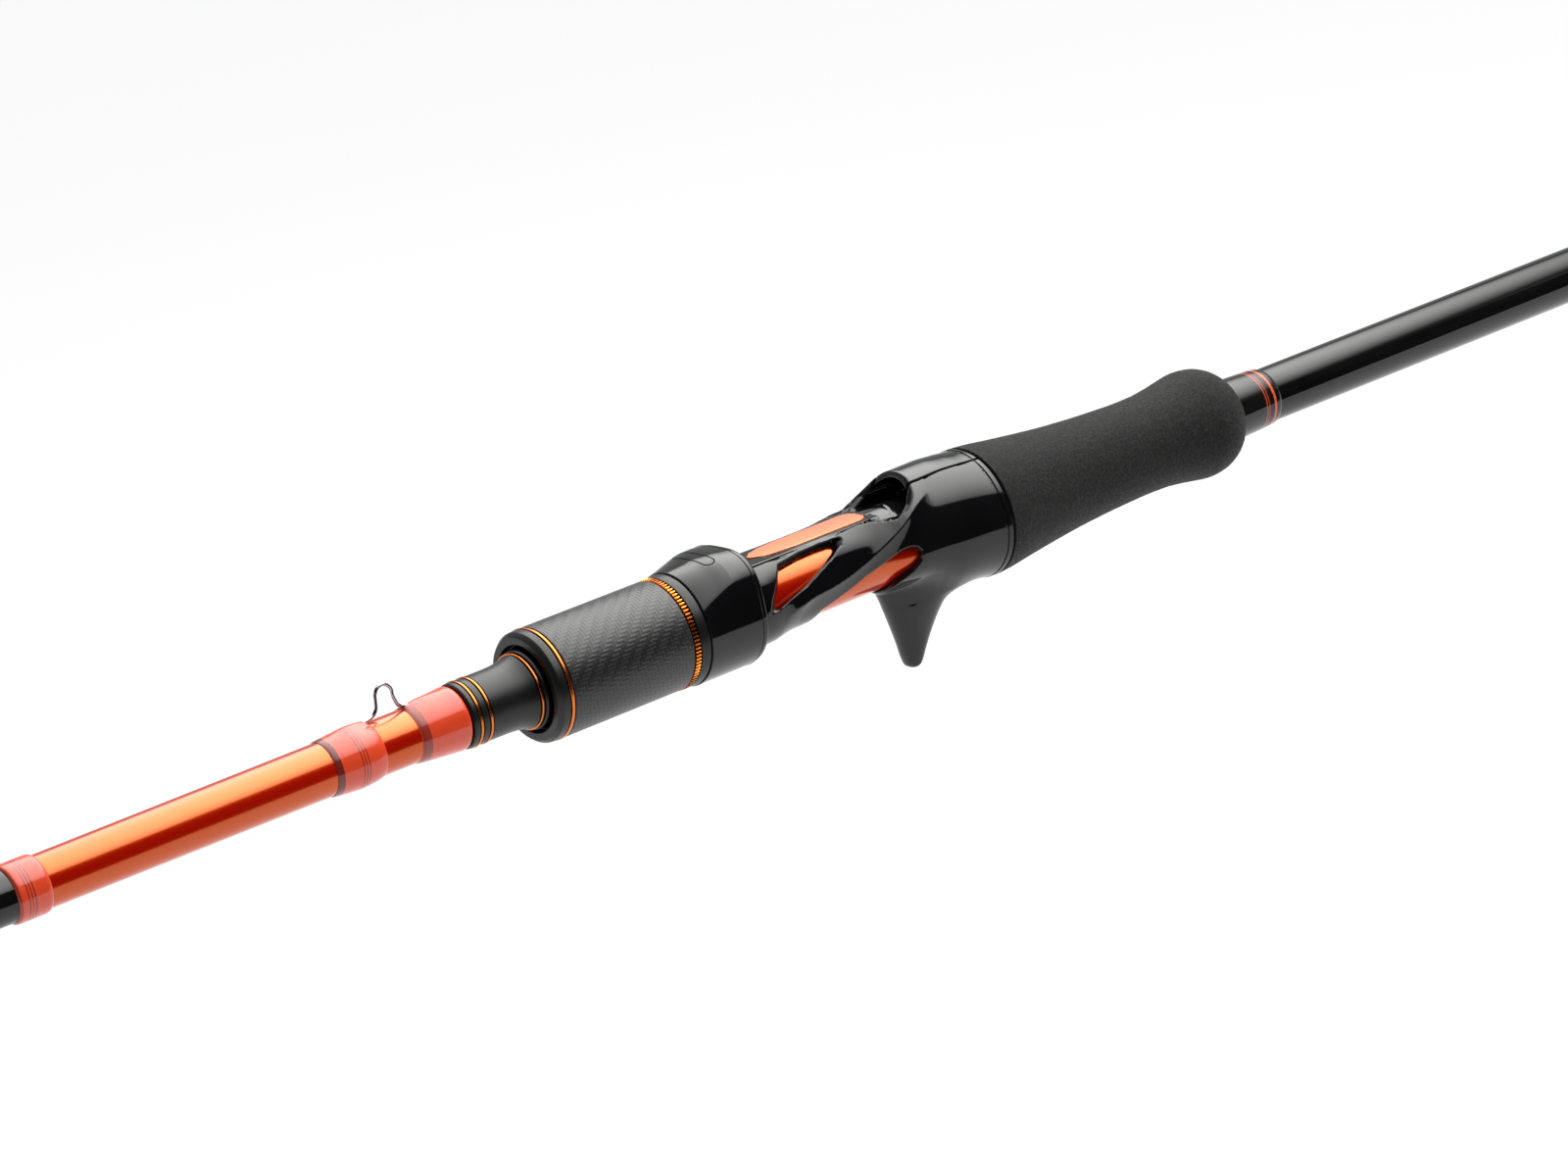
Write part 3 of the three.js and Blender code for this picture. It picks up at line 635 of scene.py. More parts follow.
def implicit(name, field, lo, hi, h, keep_largest=True):
    P, F, grad = surface(field, lo, hi, h)
    o = mesh_object(name, P, F.tolist(), sharp=None)
    me = o.data
    if keep_largest:
        bm = bmesh.new()
        bm.from_mesh(me)
        seen, parts = set(), []
        for v in bm.verts:
            if v in seen:
                continue
            stack, part = [v], []
            seen.add(v)
            while stack:
                q = stack.pop()
                part.append(q)
                for ed in q.link_edges:
                    w = ed.other_vert(q)
                    if w not in seen:
                        seen.add(w)
                        stack.append(w)
            parts.append(part)
        parts.sort(key=len)
        for part in parts[:-1]:
            bmesh.ops.delete(bm, geom=part, context="VERTS")
        bm.to_mesh(me)
        bm.free()
        me.polygons.foreach_set("use_smooth", [True] * len(me.polygons))
    n = len(me.vertices)
    co = np.empty(n * 3)
    me.vertices.foreach_get("co", co)
    g = grad(co.reshape(-1, 3) / MM)
    g /= np.maximum(np.linalg.norm(g, axis=1, keepdims=True), 1e-9)
    me.normals_split_custom_set_from_vertices(g.tolist())
    me.update()
    return o


FINE = 0.3

# ------------------------------------------------------------------ reel seat moulding
TOPT = [(321.1, 14.9), (324, 15.1), (328, 15.5), (333, 15.8), (339, 15.75), (344, 15.2), (348, 13.8), (352, 12.2), (357, 10.9), (362, 10.3), (366, 10.1), (380, 10.1), (386, 10.2), (388.4, 10.2)]
SIDET = [(321.1, 14.9), (326, 14.2), (333, 13.4), (339, 12.6), (345, 11.7), (352, 10.6), (360, 9.75), (372, 9.6), (380, 9.9), (386, 10.4), (388.4, 10.4)]
BOTT = [(321.1, 14.9), (326, 14.3), (333, 13.8), (336, 12.6), (339, 10.9), (343, 9.7), (350, 9.2), (366, 9.1), (378, 9.4), (384, 10.2), (388.4, 10.3)]
T_ = [np.array(t).T for t in (TOPT, SIDET, BOTT)]
WIN_OUT = [(380.5, 46.5), (374, 52.3), (368.6, 53.6), (364.9, 52.2), (363.5, 48.8), (364.0, 43.5), (367, 33), (372, 20), (376, 10), (380, 3), (384.5, -6), (386, -3), (385.5, 6), (383, 26)]
WIN_IN = [(380.3, 44), (374, 50), (369, 51.5), (365.5, 50), (365.0, 47), (365.4, 42), (368.5, 32), (372.5, 20), (376.3, 9), (380, 1.5), (383.9, -8), (384.6, -5), (384.2, 4), (382, 26)]
LOW_OUT = [(374, -110), (373, -60), (371.5, -38), (366, -23), (360, -8), (352, 3.5), (349.2, 7.2), (347.2, 7.6), (345.7, 5.2), (344.9, 0), (345.2, -10), (347, -22), (349.5, -34), (350.9, -48), (351.6, -62), (351.8, -110)]
LOW_IN = [(374, -110), (373, -60), (371.3, -40), (365.6, -26.5), (359.3, -12.5), (352, -1.5), (347.8, 3), (345.7, 1.5), (345.0, -3), (345.3, -12), (347.2, -24), (349.7, -36), (351.0, -50), (351.7, -64), (351.9, -110)]
RIDGE = [(388, -30), (380, -14), (374.5, -6), (370, -3.5), (366, 0.5), (360, 9.5), (355, 19), (350, 29), (346, 38), (343, 45), (338, 53), (330, 58), (321, 60)]
TRIG = [(353.0, -8.2), (350.4, -10), (348.8, -13), (347.3, -18), (346.3, -23), (345.9, -26.4), (345.2, -28.3), (344.2, -29.0), (343.2, -28.3),
        (341.4, -24.5), (338.8, -20.4), (335.6, -16.8), (331.5, -13.8), (328, -10), (332, -6), (345, -4), (352, -6.5)]


TZF, TXF = np.array([(-29.3, 344.5), (-28.9, 345.2), (-28.1, 345.8), (-26.4, 346.3), (-23, 346.9), (-18, 348.0), (-13, 349.3), (-10, 350.2), (-8, 350.8)]).T
TZR, TXR = np.array([(-29.3, 343.9), (-28.9, 343.2), (-28.0, 342.3), (-24.5, 340.2), (-20.4, 337.4), (-16.8, 334.4), (-14.2, 331.2), (-12.6, 327.5), (-8, 325)]).T
TZY, TY = np.array([(-29.3, 1.2), (-28.9, 1.8), (-28.2, 2.3), (-26.5, 2.85), (-22, 3.7), (-16, 4.97), (-10, 6.3), (-8, 6.75)]).T


def arc(poly):
    return [(x, math.radians(t) * 9.3) for x, t in poly]


def seat_field(x, y, z):
    r = np.sqrt(y * y + z * z) + 1e-9
    ay = np.abs(y)
    s, c = ay / r, z / r
    top, side, bot = (pchip(t[0], t[1], x) for t in T_)
    upw = np.clip(c * 8, -1, 1) * 0.5 + 0.5
    a = bot + (top - bot) * upw
    n = 2.05 + upw * (-0.07 + 0.37 * np.clip((x - 339) / 10, 0, 1))
    rb = 1 / np.power(np.power(np.abs(c) / a, n) + np.power(s / side, n), 1 / n)
    th = np.degrees(np.arctan2(z, ay))
    # long ridge from the collar's underside up to the fixed hood
    rx = np.array([q[0] for q in RIDGE][::-1], float)
    rt = np.array([q[1] for q in RIDGE][::-1], float)
    d = np.radians(th - pchip(rx, rt, x)) * rb
    fade = np.clip((x - 338) / 9, 0, 1) * np.clip((383 - x) / 6, 0, 1)
    dd = np.sqrt(d * d + 0.03) - 0.17
    up_side = 0.85 * np.exp(-dd / 2.2)
    low_side = (0.85 - 1.55 * (1 - np.exp(-dd / 2.3))) * np.exp(-(dd / 7.5) ** 2)
    rb = rb + fade * np.where(d >= 0, up_side, low_side)
    f = (r - rb) * 0.92
    # saddle: flat, with a shallow line down each side that fades in the middle
    saddle = np.clip((x - 351) / 4, 0, 1)
    f = smax(f, z - 9.2 - (1 - saddle) * 9, 0.25)
    gr = 0.34 * np.clip(np.abs(x - 368) / 9, 0, 1) * np.clip((x - 349.5) / 2, 0, 1)
    gl = np.abs(ay - 5.45 - 0.25 * np.abs(x - 368) / 18) - 0.22
    f = np.where((z > 6), smax(f, -np.maximum(gl, 9.25 - gr * 1.6 - z - np.maximum(0, ay - 5.0) * 0.55) * 1.0, 0.22), f)
    # trigger
    zt = np.clip(z, -29.3, -8.0)
    xf, xr = pchip(TZF, TXF, zt), pchip(TZR, TXR, zt)
    hx, hy = np.maximum((xf - xr) / 2, 0.3), pchip(TZY, TY, zt)
    tr = (np.power(np.power(np.abs(x - (xf + xr) / 2) / hx, 2.15) + np.power(ay / hy, 2.15), 1 / 2.15) - 1) * np.minimum(hx, hy) * 0.9
    tr = smax(tr, -29.05 - z, 1.3)
    tr = np.maximum(tr, z + 3)
    f = smin(f, tr, np.interp(x, [339, 349], [3.0, 0.9]))
    # open inside for the liner
    f = smax(f, 8.65 - r - np.maximum(0, 329.7 - x) * 4, 0.25)
    f = np.maximum(f, 7.1 - r)
    # windows
    sarc = np.radians(th) * 9.3
    t = np.clip((r - 8.5) / 1.25, 0, 1.6)
    wi, wo = poly_sdf(x, sarc, arc(WIN_IN)), poly_sdf(x, sarc, arc(WIN_OUT))
    f = smax(f, -((1 - t) * wi + t * wo), 0.28)
    li, lo_ = poly_sdf(x, sarc, arc(LOW_IN)), poly_sdf(x, sarc, arc(LOW_OUT))
    t = np.minimum(t, 1.2)
    low = (1 - t) * li + t * lo_
    low = np.maximum(low, -(z + 9.6) - 3 * np.maximum(0, x - 350.8))
    f = smax(f, -low, 0.30)
    # fixed hood: channel above the saddle, slanted mouth, pocket
    floor = np.interp(x, [338, 346, 351, 356, 360], [7.5, 7.6, 8.2, 9.1, 9.2])
    floor = np.where((x > 350.2) & (ay < 5.3), np.maximum(floor, 9.2), floor)
    wide = np.interp(x, [338, 342, 346, 349, 352, 357, 362], [7.8, 9.0, 9.7, 9.5, 8.1, 5.8, 5.2])
    mouth = np.interp(z, [7, 8.5, 10, 12, 14.4, 16], [348.2, 346.4, 344.2, 342.4, 340.8, 340.4])
    chan = smax(smax(ay - wide, floor - z, 0.6), (mouth - x) * 0.85, 1.0)
    chan = np.maximum(chan, 9.4 - r)
    f = smax(f, -chan, 0.45)
    pock = smax(smax((np.sqrt((y / 7.9) ** 2 + ((z - 7.0) / 7.2) ** 2) - 1) * 7.0, floor - z, 0.5), 334.2 - x, 1.2)
    pock = np.maximum(pock, x - 352.5)
    pock = np.maximum(pock, 9.4 - r)
    f = smax(f, -pock, 0.45)
    # ends
    f = smax(f, x - 388.35, 0.5)
    f = smax(f, 321.15 - x, 0.35)
    f = smax(f, 0.16 - np.sqrt((x - 322.7) ** 2 + (r - rb) ** 2), 0.05)
    # recess for the inlay
    inlay = np.maximum(poly_sdf(x, y, [(384.2, 0), (381.2, 2.6), (378, 3.6), (372, 4.0), (354.2, 4.0), (352.2, 3.2), (351.4, 1.6), (351.4, -1.6), (352.2, -3.2), (354.2, -4.0), (372, -4.0), (378, -3.6), (381.2, -2.6)]), 8.95 - z)
    f = smax(f, -inlay, 0.12)
    return f


seat = implicit("reel_seat_body", seat_field, (319.5, -17, -31), (390, 17, 18), FINE)
finish_piece(seat, "handle", "moulded_black", ["seat_body"])

# threaded barrel of the seat, seen when the hood is run forward
TH_PITCH = 2.0
xs = np.arange(388.2, 445.21, 0.19)
seg = 96
th = np.arange(seg) * TAU / seg
vv, ff = [], []
for x in xs:
    ph = (x / TH_PITCH - th / TAU) % 1.0
    r = 8.18 + 0.30 * np.clip(1.6 * (0.5 - np.abs(ph - 0.5)) * 2 - 0.3, 0, 1)
    r = np.where(x > 444.2, 8.18, r) if x > 444.2 else r
    vv.extend(zip([x] * seg, (r * np.cos(th)).tolist(), (r * np.sin(th)).tolist()))
rows_n = len(xs)
for x in (445.2, 388.2):
    vv.extend(zip([x] * seg, (7.1 * np.cos(th)).tolist(), (7.1 * np.sin(th)).tolist()))
for i in list(range(rows_n - 1)) + [rows_n - 1, rows_n]:
    j = i + 1
    for k in range(seg):
        k2 = (k + 1) % seg
        ff.append((i * seg + k, i * seg + k2, j * seg + k2, j * seg + k))
i, j = rows_n + 1, 0
for k in range(seg):
    k2 = (k + 1) % seg
    ff.append((i * seg + k, i * seg + k2, j * seg + k2, j * seg + k))
ff = [tuple(reversed(q)) for q in ff]
finish_piece(mesh_object("seat_barrel_thread", vv, ff, 50), "handle", "satin_black")

# liner and inlay
def liner_r(x, t, r):
    """Flat under the saddle, swelling towards the rounded end of the lower opening."""
    if r[0] < 8:
        return r
    th = np.degrees(np.arctan2(np.sin(t), np.abs(np.cos(t))))
    r = r + 1.75 * math.exp(-((x - 344.5) / 5.2) ** 2) * np.exp(-((th + 8) / 26) ** 2)
    return np.minimum(r, 8.2 / np.maximum(np.sin(t), 1e-3))


finish_piece(sleeve("liner", [(386.1, 8.35), *[(float(q), 8.35) for q in np.arange(357, 333, -1.0)], (330.4, 8.35)][::-1], [(330.4, 6.85), (386.1, 6.85)], 160, 0.2,
                    radial=liner_r), "handle", "orange_metallic", ["seat_core"])


def inlay_mesh():
    pts = [(383.9, 0), (381.0, 2.45), (377.8, 3.42), (372, 3.8), (354.3, 3.8), (352.5, 3.0), (351.8, 1.5), (351.8, -1.5), (352.5, -3.0), (354.3, -3.8), (372, -3.8), (377.8, -3.42), (381.0, -2.45)]
    pts = rounded(pts, 1.6, 5)
    bm = bmesh.new()
    vs = [bm.verts.new((p[0] * MM, p[1] * MM, 9.0 * MM)) for p in pts]
    f = bm.faces.new(vs)
    ret = bmesh.ops.extrude_face_region(bm, geom=[f])
    top = [v for v in ret["geom"] if isinstance(v, bmesh.types.BMVert)]
    for v in top:
        v.co.z = 9.33 * MM
    edges = [e for e in bm.edges if all(abs(v.co.z - 9.33 * MM) < 1e-9 for v in e.verts)]
    bmesh.ops.bevel(bm, geom=edges, offset=0.16 * MM, segments=3, affect="EDGES", profile=0.6)
    bmesh.ops.recalc_face_normals(bm, faces=bm.faces)
    me = bpy.data.meshes.new("saddle_plate")
    bm.to_mesh(me)
    bm.free()
    me.polygons.foreach_set("use_smooth", [True] * len(me.polygons))
    me.set_sharp_from_angle(angle=math.radians(30))
    return link(bpy.data.objects.new("saddle_plate", me))


finish_piece(inlay_mesh(), "handle", "inlay_paint", ["saddle_inlay"])

# ------------------------------------------------------------------ movable hood
HX = np.array([389.5, 393.5, 397, 400.5, 405.1])
HC = np.array([14.2, 14.3, 14.05, 13.5, 12.85])


def hood_outer(x, c, s):
    crest = pchip(HX, HC, x)
    upw = np.clip(c * 4, 0, 1)
    a = 12.85 + (crest - 12.85) * upw
    n = 2 + 1.0 * upw * np.clip((405.1 - x) / 9, 0, 1)
    rb = 1 / np.power(np.power(np.abs(c) / a, n) + np.power(s / 12.85, n), 1 / n)
    # rim band behind a fine line
    return rb - 0.22 * np.clip((391.1 - x) / 0.25, 0, 1)


def hood_field(x, y, z):
    r = np.sqrt(y * y + z * z) + 1e-9
    f = r - hood_outer(x, z / r, np.abs(y) / r)
    f = smax(f, x - 405.15, 0.12)
    f = smax(f, 389.6 - x, 0.5)
    # bore and pocket
    f = smax(f, 8.85 - r, 0.2)
    roof = 13.0 - 1.2 * np.clip((x - 396.6) / 4.5, 0, 1)
    pocket = smax(smax(np.abs(y) - 6.3, z - roof, 0.8), x - 401.4, 0.8)
    pocket = np.maximum(pocket, 5 - z)
    f = smax(f, -pocket, 0.3)
    return f


hood = implicit("hood_shell", hood_field, (388.5, -14, -14), (406.2, 14, 15.5), 0.24)
finish_piece(hood, "hood", "hood_gloss", ["movable_hood"])



def hood_r(x, th):
    return hood_outer(x, np.sin(th), np.abs(np.cos(th)))


def seat_r(x, th):
    lo, hi = np.full(np.shape(x), 8.8), np.full(np.shape(x), 17.0)
    for _ in range(30):
        mid = (lo + hi) / 2
        ins = seat_field(x, mid * np.cos(th), mid * np.sin(th)) < 0
        lo, hi = np.where(ins, mid, lo), np.where(ins, hi, mid)
    return lo


def seam(name, rfun, x, th, width, body, closed=False, lift=0.045, depth=0.12):
    """Fine parting line drawn as a near-black matte strip, painted shade for its groove, lying in the surface r =
    rfun(x, th); width may vary along it.
    """
    x, th = np.asarray(x, float), np.asarray(th, float)
    w = np.broadcast_to(width, x.shape)
    P = np.stack([x, rfun(x, th) * np.cos(th), rfun(x, th) * np.sin(th)], 1)
    e = 0.05
    Px = np.stack([x + e, rfun(x + e, th) * np.cos(th), rfun(x + e, th) * np.sin(th)], 1) - P
    t2 = th + e / 12
    Pt = np.stack([x, rfun(x, t2) * np.cos(t2), rfun(x, t2) * np.sin(t2)], 1) - P
    N = np.cross(Pt, Px)
    N /= np.maximum(np.linalg.norm(N, axis=1, keepdims=True), 1e-9)
    N *= np.sign((N[:, 1] * P[:, 1] + N[:, 2] * P[:, 2]))[:, None]
    if closed:
        T = np.roll(P, -1, 0) - np.roll(P, 1, 0)
    else:
        T = np.gradient(P, axis=0)
    T /= np.maximum(np.linalg.norm(T, axis=1, keepdims=True), 1e-9)
    S = np.cross(T, N)
    S /= np.maximum(np.linalg.norm(S, axis=1, keepdims=True), 1e-9)
    ring = []
    for k, (a, b) in enumerate(((-1, -depth), (-1, lift * 0.4), (-0.5, lift), (0.5, lift), (1, lift * 0.4), (1, -depth))):
        ring.append(P + S * (a * w[:, None] / 2) + N * b)
    V = np.stack(ring, 1).reshape(-1, 3)
    n, m = len(P), 6
    F = []
    for i in range(n if closed else n - 1):
        j = (i + 1) % n
        for k in range(m):
            k2 = (k + 1) % m
            F.append((i * m + k, j * m + k, j * m + k2, i * m + k2))
    if not closed:
        F.append(tuple(range(m)))
        F.append(tuple((n - 1) * m + k for k in reversed(range(m))))
    o = mesh_object(name, V, F, 40)
    bm = bmesh.new()
    bm.from_mesh(o.data)
    bmesh.ops.recalc_face_normals(bm, faces=bm.faces)
    bm.to_mesh(o.data)
    bm.free()
    o.data.polygons.foreach_set("use_smooth", [True] * len(o.data.polygons))
    return finish_piece(o, body, "seam_groove_shade")


# painted shade: near-black matte strips stand in for the shade in the hood's tab outline, its rim line and the seat's
# end line
MATS["seam_groove_shade"] = make_plain("seam_groove_shade", (0.0015, 0.0015, 0.0015), (0.003, 0.003, 0.003), 0.9, 1.0, 0.1, 900, 0.05)
# flush tab across the crest of the hood
q = np.linspace(0, 1, 26)[:-1]
TABX, TABH, TABL, RC = 397.35, 1.38, 5.1, 14.0
pts = []
for k in q:
    pts.append((TABX + TABH, -TABL + 2 * TABL * k))
for k in np.linspace(0, math.pi, 14)[:-1]:
    pts.append((TABX + TABH * math.cos(k), TABL + TABH * math.sin(k)))
for k in q:
    pts.append((TABX - TABH, TABL - 2 * TABL * k))
for k in np.linspace(math.pi, TAU, 14)[:-1]:
    pts.append((TABX + TABH * math.cos(k), -TABL + TABH * math.sin(k)))
pts = np.array(pts)
seam("hood_tab_line", hood_r, pts[:, 0], math.pi / 2 - pts[:, 1] / RC, 0.30, "hood", closed=True)
tt_ = np.arange(160) * TAU / 160
seam("hood_rim_line", hood_r, np.full(160, 391.15), tt_, 0.20, "hood", closed=True)
seam("seat_end_line", seat_r, np.full(160, 322.5), tt_, 0.20, "handle", closed=True)

# ------------------------------------------------------------------ nut
NI = 11.05
finish_piece(sleeve("nut_core_sleeve", [(443.2, 10.8), (407.3, 10.8)], [(443.2, 9.3), (407.3, 9.3)], 128, 0.1), "nut", "graphite", ["nut_core"])
finish_piece(turned("nut_cap_front", rounded([(445.3, 11.45), (444.3, 12.25), (442.7, 12.4), (442.7, NI), (443.45, NI), (443.45, 9.7), (445.3, 9.7)],
             [0.35, 0.5, 0.08, 0, 0, 0.1, 0.3]), 160), "nut", "satin_black", ["nut_front_cap"])
finish_piece(turned("nut_ring_front", rounded([(442.38, 12.50), (441.62, 12.50), (441.62, NI), (442.38, NI)], [0.25, 0.25, 0, 0]), 160), "nut", "copper_trim", ["nut_trim_ring"])
finish_piece(turned("nut_carbon", rounded([(441.32, 12.40), (409.62, 12.40), (409.62, NI), (441.32, NI)], [0.22, 0.22, 0, 0]), 192), "nut", "carbon_weave", ["carbon_sleeve"])
TEETH = 90


def knurl(x, t, r):
    if r[0] < 12:
        return r
    w = (t * TEETH / TAU) % 1.0
    return r - 0.5 * np.clip(np.abs(w - 0.5) * 7.0 - 1.3, 0, 1)


finish_piece(turned("nut_knurl", rounded([(409.44, 12.25), (409.34, 12.54), (408.04, 12.54), (407.94, 12.25), (407.94, NI), (409.44, NI)], [0.05, 0.08, 0.08, 0.05, 0, 0]), TEETH * 8, 50, knurl),
             "nut", "orange_anodised", ["knurled_ring"])
finish_piece(turned("nut_collar_rear", rounded([(407.68, 12.42), (405.75, 12.60), (405.38, 12.56), (405.38, 9.3), (407.0, 9.3), (407.0, NI), (407.68, NI)],
             [0.1, 0.15, 0.08, 0.1, 0, 0, 0]), 160), "nut", "satin_black", ["nut_rear_collar"])

# ------------------------------------------------------------------ front trim tube and its rings
TUBE_RAD = [0.2, 0.15] + [0.05] * 8 + [0] * len(smooth_curve([(458.4, 1), (447.35, 1)], 0.5)) + [0, 0, 0.12, 0.12, 0, 0]
finish_piece(turned("trim_tube", rounded([(463.5, 7.0), (463.1, 7.20), (462.25, 7.22), (462.15, 6.9), (461.2, 6.9), (461.1, 7.22), (459.75, 7.22), (459.65, 6.9), (458.7, 6.9), (458.6, 7.22),
             *smooth_curve([(458.4, 7.22), (454, 7.22), (451.5, 7.30), (449.5, 7.55), (448.2, 7.85), (447.35, 8.12)], 0.5)[::-1], (447.35, 7.5), (446.25, 7.5), (446.25, 8.62), (445.6, 8.85), (445.6, 6.35), (463.5, 6.35)],
             TUBE_RAD), 144), "handle", "satin_black", ["front_trim_tube"])
for nm, cx, ro, ri, w, node in (("trim_line_a", 461.75, 7.40, 7.1, 0.27, "trim_ring_front"), ("trim_line_b", 459.2, 7.40, 7.1, 0.27, "trim_ring_mid"), ("trim_line_c", 446.8, 8.50, 7.8, 0.30, "trim_ring_flange")):
    finish_piece(turned(nm, rounded([(cx + w, ro - 0.03), (cx - w, ro), (cx - w, ri), (cx + w, ri)], [0.16, 0.16, 0, 0]), 144), "handle", "copper_trim", [node])

# ------------------------------------------------------------------ blank, ferrule
xs_b = sorted([6.6, *[x for x in BLANK_X if 7 < x < 1075], 1075.7, 571.6, 400.0])
butt = sleeve("blank_butt", [(x, blank_r(x)) for x in xs_b], [(6.6, 5.3), (996, 3.35), (1075.7, 3.05)], 128, 0.25)
finish_piece(butt, "handle", "blank_paint", ["butt_blank"])
butt.data.materials.append(MATS["blank_orange"])
for poly in butt.data.polygons:
    cx = poly.center
    if 0.3999 < cx.x < 0.5717 and math.hypot(cx.y, cx.z) > 0.0053:
        poly.material_index = 1
xs_t = [1076.3, *[x for x in BLANK_X if 1080 < x < 2120], 2124]
finish_piece(sleeve("blank_tip", [(x, blank_r(x)) for x in xs_t], [(1076.3, 3.05), (1156, 2.95), (1162, 2.2), (2124, 0.35)], 64, 0.2), "tip_section", "blank_paint", ["tip_blank"])
finish_piece(turned("spigot", rounded([(1014, 0), (1014, 2.86), (1076, 2.78), (1147, 2.62), (1150, 2.2), (1150, 0)], 0.3, closed=False), 64), "handle", "blank_paint", ["ferrule_spigot"])


def wrap_piece(name, x0, x1, lift, body, material, node, hump=None, seg=96, step=0.25):
    """Thread wrap: ends run down to the blank like epoxy, optionally raised over a guide foot."""
    n = int((x1 - x0) / step)
    outer = []
    for i in range(n + 1):
        x = x0 + (x1 - x0) * i / n
        d = min(x - x0, x1 - x)
        e = 1 - math.exp(-max(d, 0) / 0.35)
        base = lift(x) if callable(lift) else blank_r(x) + lift
        outer.append((x, blank_r(x) + 0.10 + (base - blank_r(x) - 0.10) * e))

    def radial(x, t, r):
        if hump is None or r[0] < blank_r(x) + 0.06:
            return r
        return r + hump(x) * np.exp(-(((t - math.pi / 2)) / hump_w(x)) ** 2)

    def hump_w(x):
        return 1.35 / blank_r(x)
    o = turned(name, [*outer, (x1, blank_r(x1) + 0.03), (x0, blank_r(x0) + 0.03)], seg, 60, radial)
    return finish_piece(o, body, material, [node])


wrap_piece("ferrule_winding_butt", 1058, 1075.4, 0.55, "handle", "black_thread", "ferrule_wrap_butt", seg=64)
wrap_piece("ferrule_winding_tip", 1076.6, 1098, 0.55, "tip_section", "black_thread", "ferrule_wrap_tip", seg=64)
wrap_piece("front_winding", 564.5, 572.3, 0.62, "handle", "thread_wrap", "wrap_front")
KW = np.array([(484.7, 6.1), (487, 6.42), (490.0, 6.6), (493.0, 6.42), (497.0, 6.08)]).T
wrap_piece("keeper_winding", 484.7, 497.0, lambda x: float(pchip(KW[0], KW[1], np.array([x]))[0]), "handle", "thread_wrap", "wrap_keeper",
           hump=lambda x: 0.42 * min(1, max(0, (494.0 - x) / 6.0)) * min(1, max(0, (x - 484.7) / 0.6)))
FW = np.array([(463.4, 7.22), (467, 6.9), (471, 6.6), (474, 6.32), (475.8, 6.12)]).T
wrap_piece("flare_winding", 463.6, 475.8, lambda x: float(pchip(FW[0], FW[1], np.array([x]))[0]), "handle", "thread_wrap", "wrap_flare",
           hump=lambda x: 0.38 * min(1, max(0, (x - 466.0) / 5.0)) * min(1, max(0, (475.8 - x) / 0.6)))


def tube_along(name, pts, radius, seg=14, samples=220):
    """Round wire through points, as a mesh, ends capped."""
    P = np.array(pts, float)
    L = np.concatenate([[0], np.cumsum(np.linalg.norm(np.diff(P, axis=0), axis=1))])
    q = np.linspace(0, L[-1], samples)
    C = np.stack([pchip_c(L, P[:, k], q) for k in range(3)], 1)
    T = np.gradient(C, axis=0)
    T /= np.linalg.norm(T, axis=1, keepdims=True)
    side = np.array([0, 1.0, 0])
    v, f = [], []
    for i in range(len(C)):
        s = side - T[i] * (side @ T[i])
        s /= np.linalg.norm(s)
        b = np.cross(T[i], s)
        rr = radius * (1.0 if 2 < i < len(C) - 3 else (0.55 if i in (0, len(C) - 1) else 0.9))
        for k in range(seg):
            a = TAU * k / seg
            v.append(C[i] + rr * (math.cos(a) * s + math.sin(a) * b))
    for i in range(len(C) - 1):
        for k in range(seg):
            k2 = (k + 1) % seg
            f.append((i * seg + k, (i + 1) * seg + k, (i + 1) * seg + k2, i * seg + k2))
    f.append(tuple(range(seg)))
    f.append(tuple((len(C) - 1) * seg + k for k in reversed(range(seg))))
    o = mesh_object(name, v, f, 60)
    bm = bmesh.new()
    bm.from_mesh(o.data)
    bmesh.ops.recalc_face_normals(bm, faces=bm.faces)
    bm.to_mesh(o.data)
    bm.free()
    o.data.polygons.foreach_set("use_smooth", [True] * len(o.data.polygons))
    return o


def pchip_c(X, Y, q):
    """Catmull-Rom through unevenly spaced points."""
    X, Y = np.asarray(X, float), np.asarray(Y, float)
    m = np.gradient(Y, X)
    h = np.diff(X)
    i = np.clip(np.searchsorted(X, q) - 1, 0, len(h) - 1)
    t = (q - X[i]) / h[i]
    return ((1 + 2 * t) * (1 - t) ** 2 * Y[i] + t * (1 - t) ** 2 * h[i] * m[i]
            + t * t * (3 - 2 * t) * Y[i + 1] + t * t * (t - 1) * h[i] * m[i + 1])


KF, KR, KT = 481.5, 476.95, 12.3
keeper = tube_along("keeper_wire", [(491, 0, 6.15), (487, 0, 6.2), (484.4, 0, 6.35), (482.6, 0, 6.95), (KF + 0.25, 0, 8.0), (KF, 0, 9.4), (KF - 0.25, 0, 11.0), (KF - 1.0, 0, 12.1), ((KF + KR) / 2, 0, KT + 0.25),
                                    (KR + 1.2, 0, 12.1), (KR + 0.35, 0, 11.0), (KR + 0.25, 0, 9.6), (KR - 0.1, 0, 8.2), (KR - 0.7, 0, 7.0), (475.0, 0, 6.5), (471, 0, 6.3), (468, 0, 6.25)], 0.39)
finish_piece(keeper, "handle", "chrome_wire", ["hook_keeper"])

# arbors under the seat
for nm, x0, x1, ro, node in (("arbor_front", 394, 440, 6.75, "front_arbor"), ("arbor_rear", 336, 384, 6.62, "rear_arbor")):
    finish_piece(sleeve(nm, [(x0, ro), (x1, ro)], [(x0, blank_r(x0) + 0.1), (x1, blank_r(x1) + 0.1)], 96), "handle", "graphite", [node])

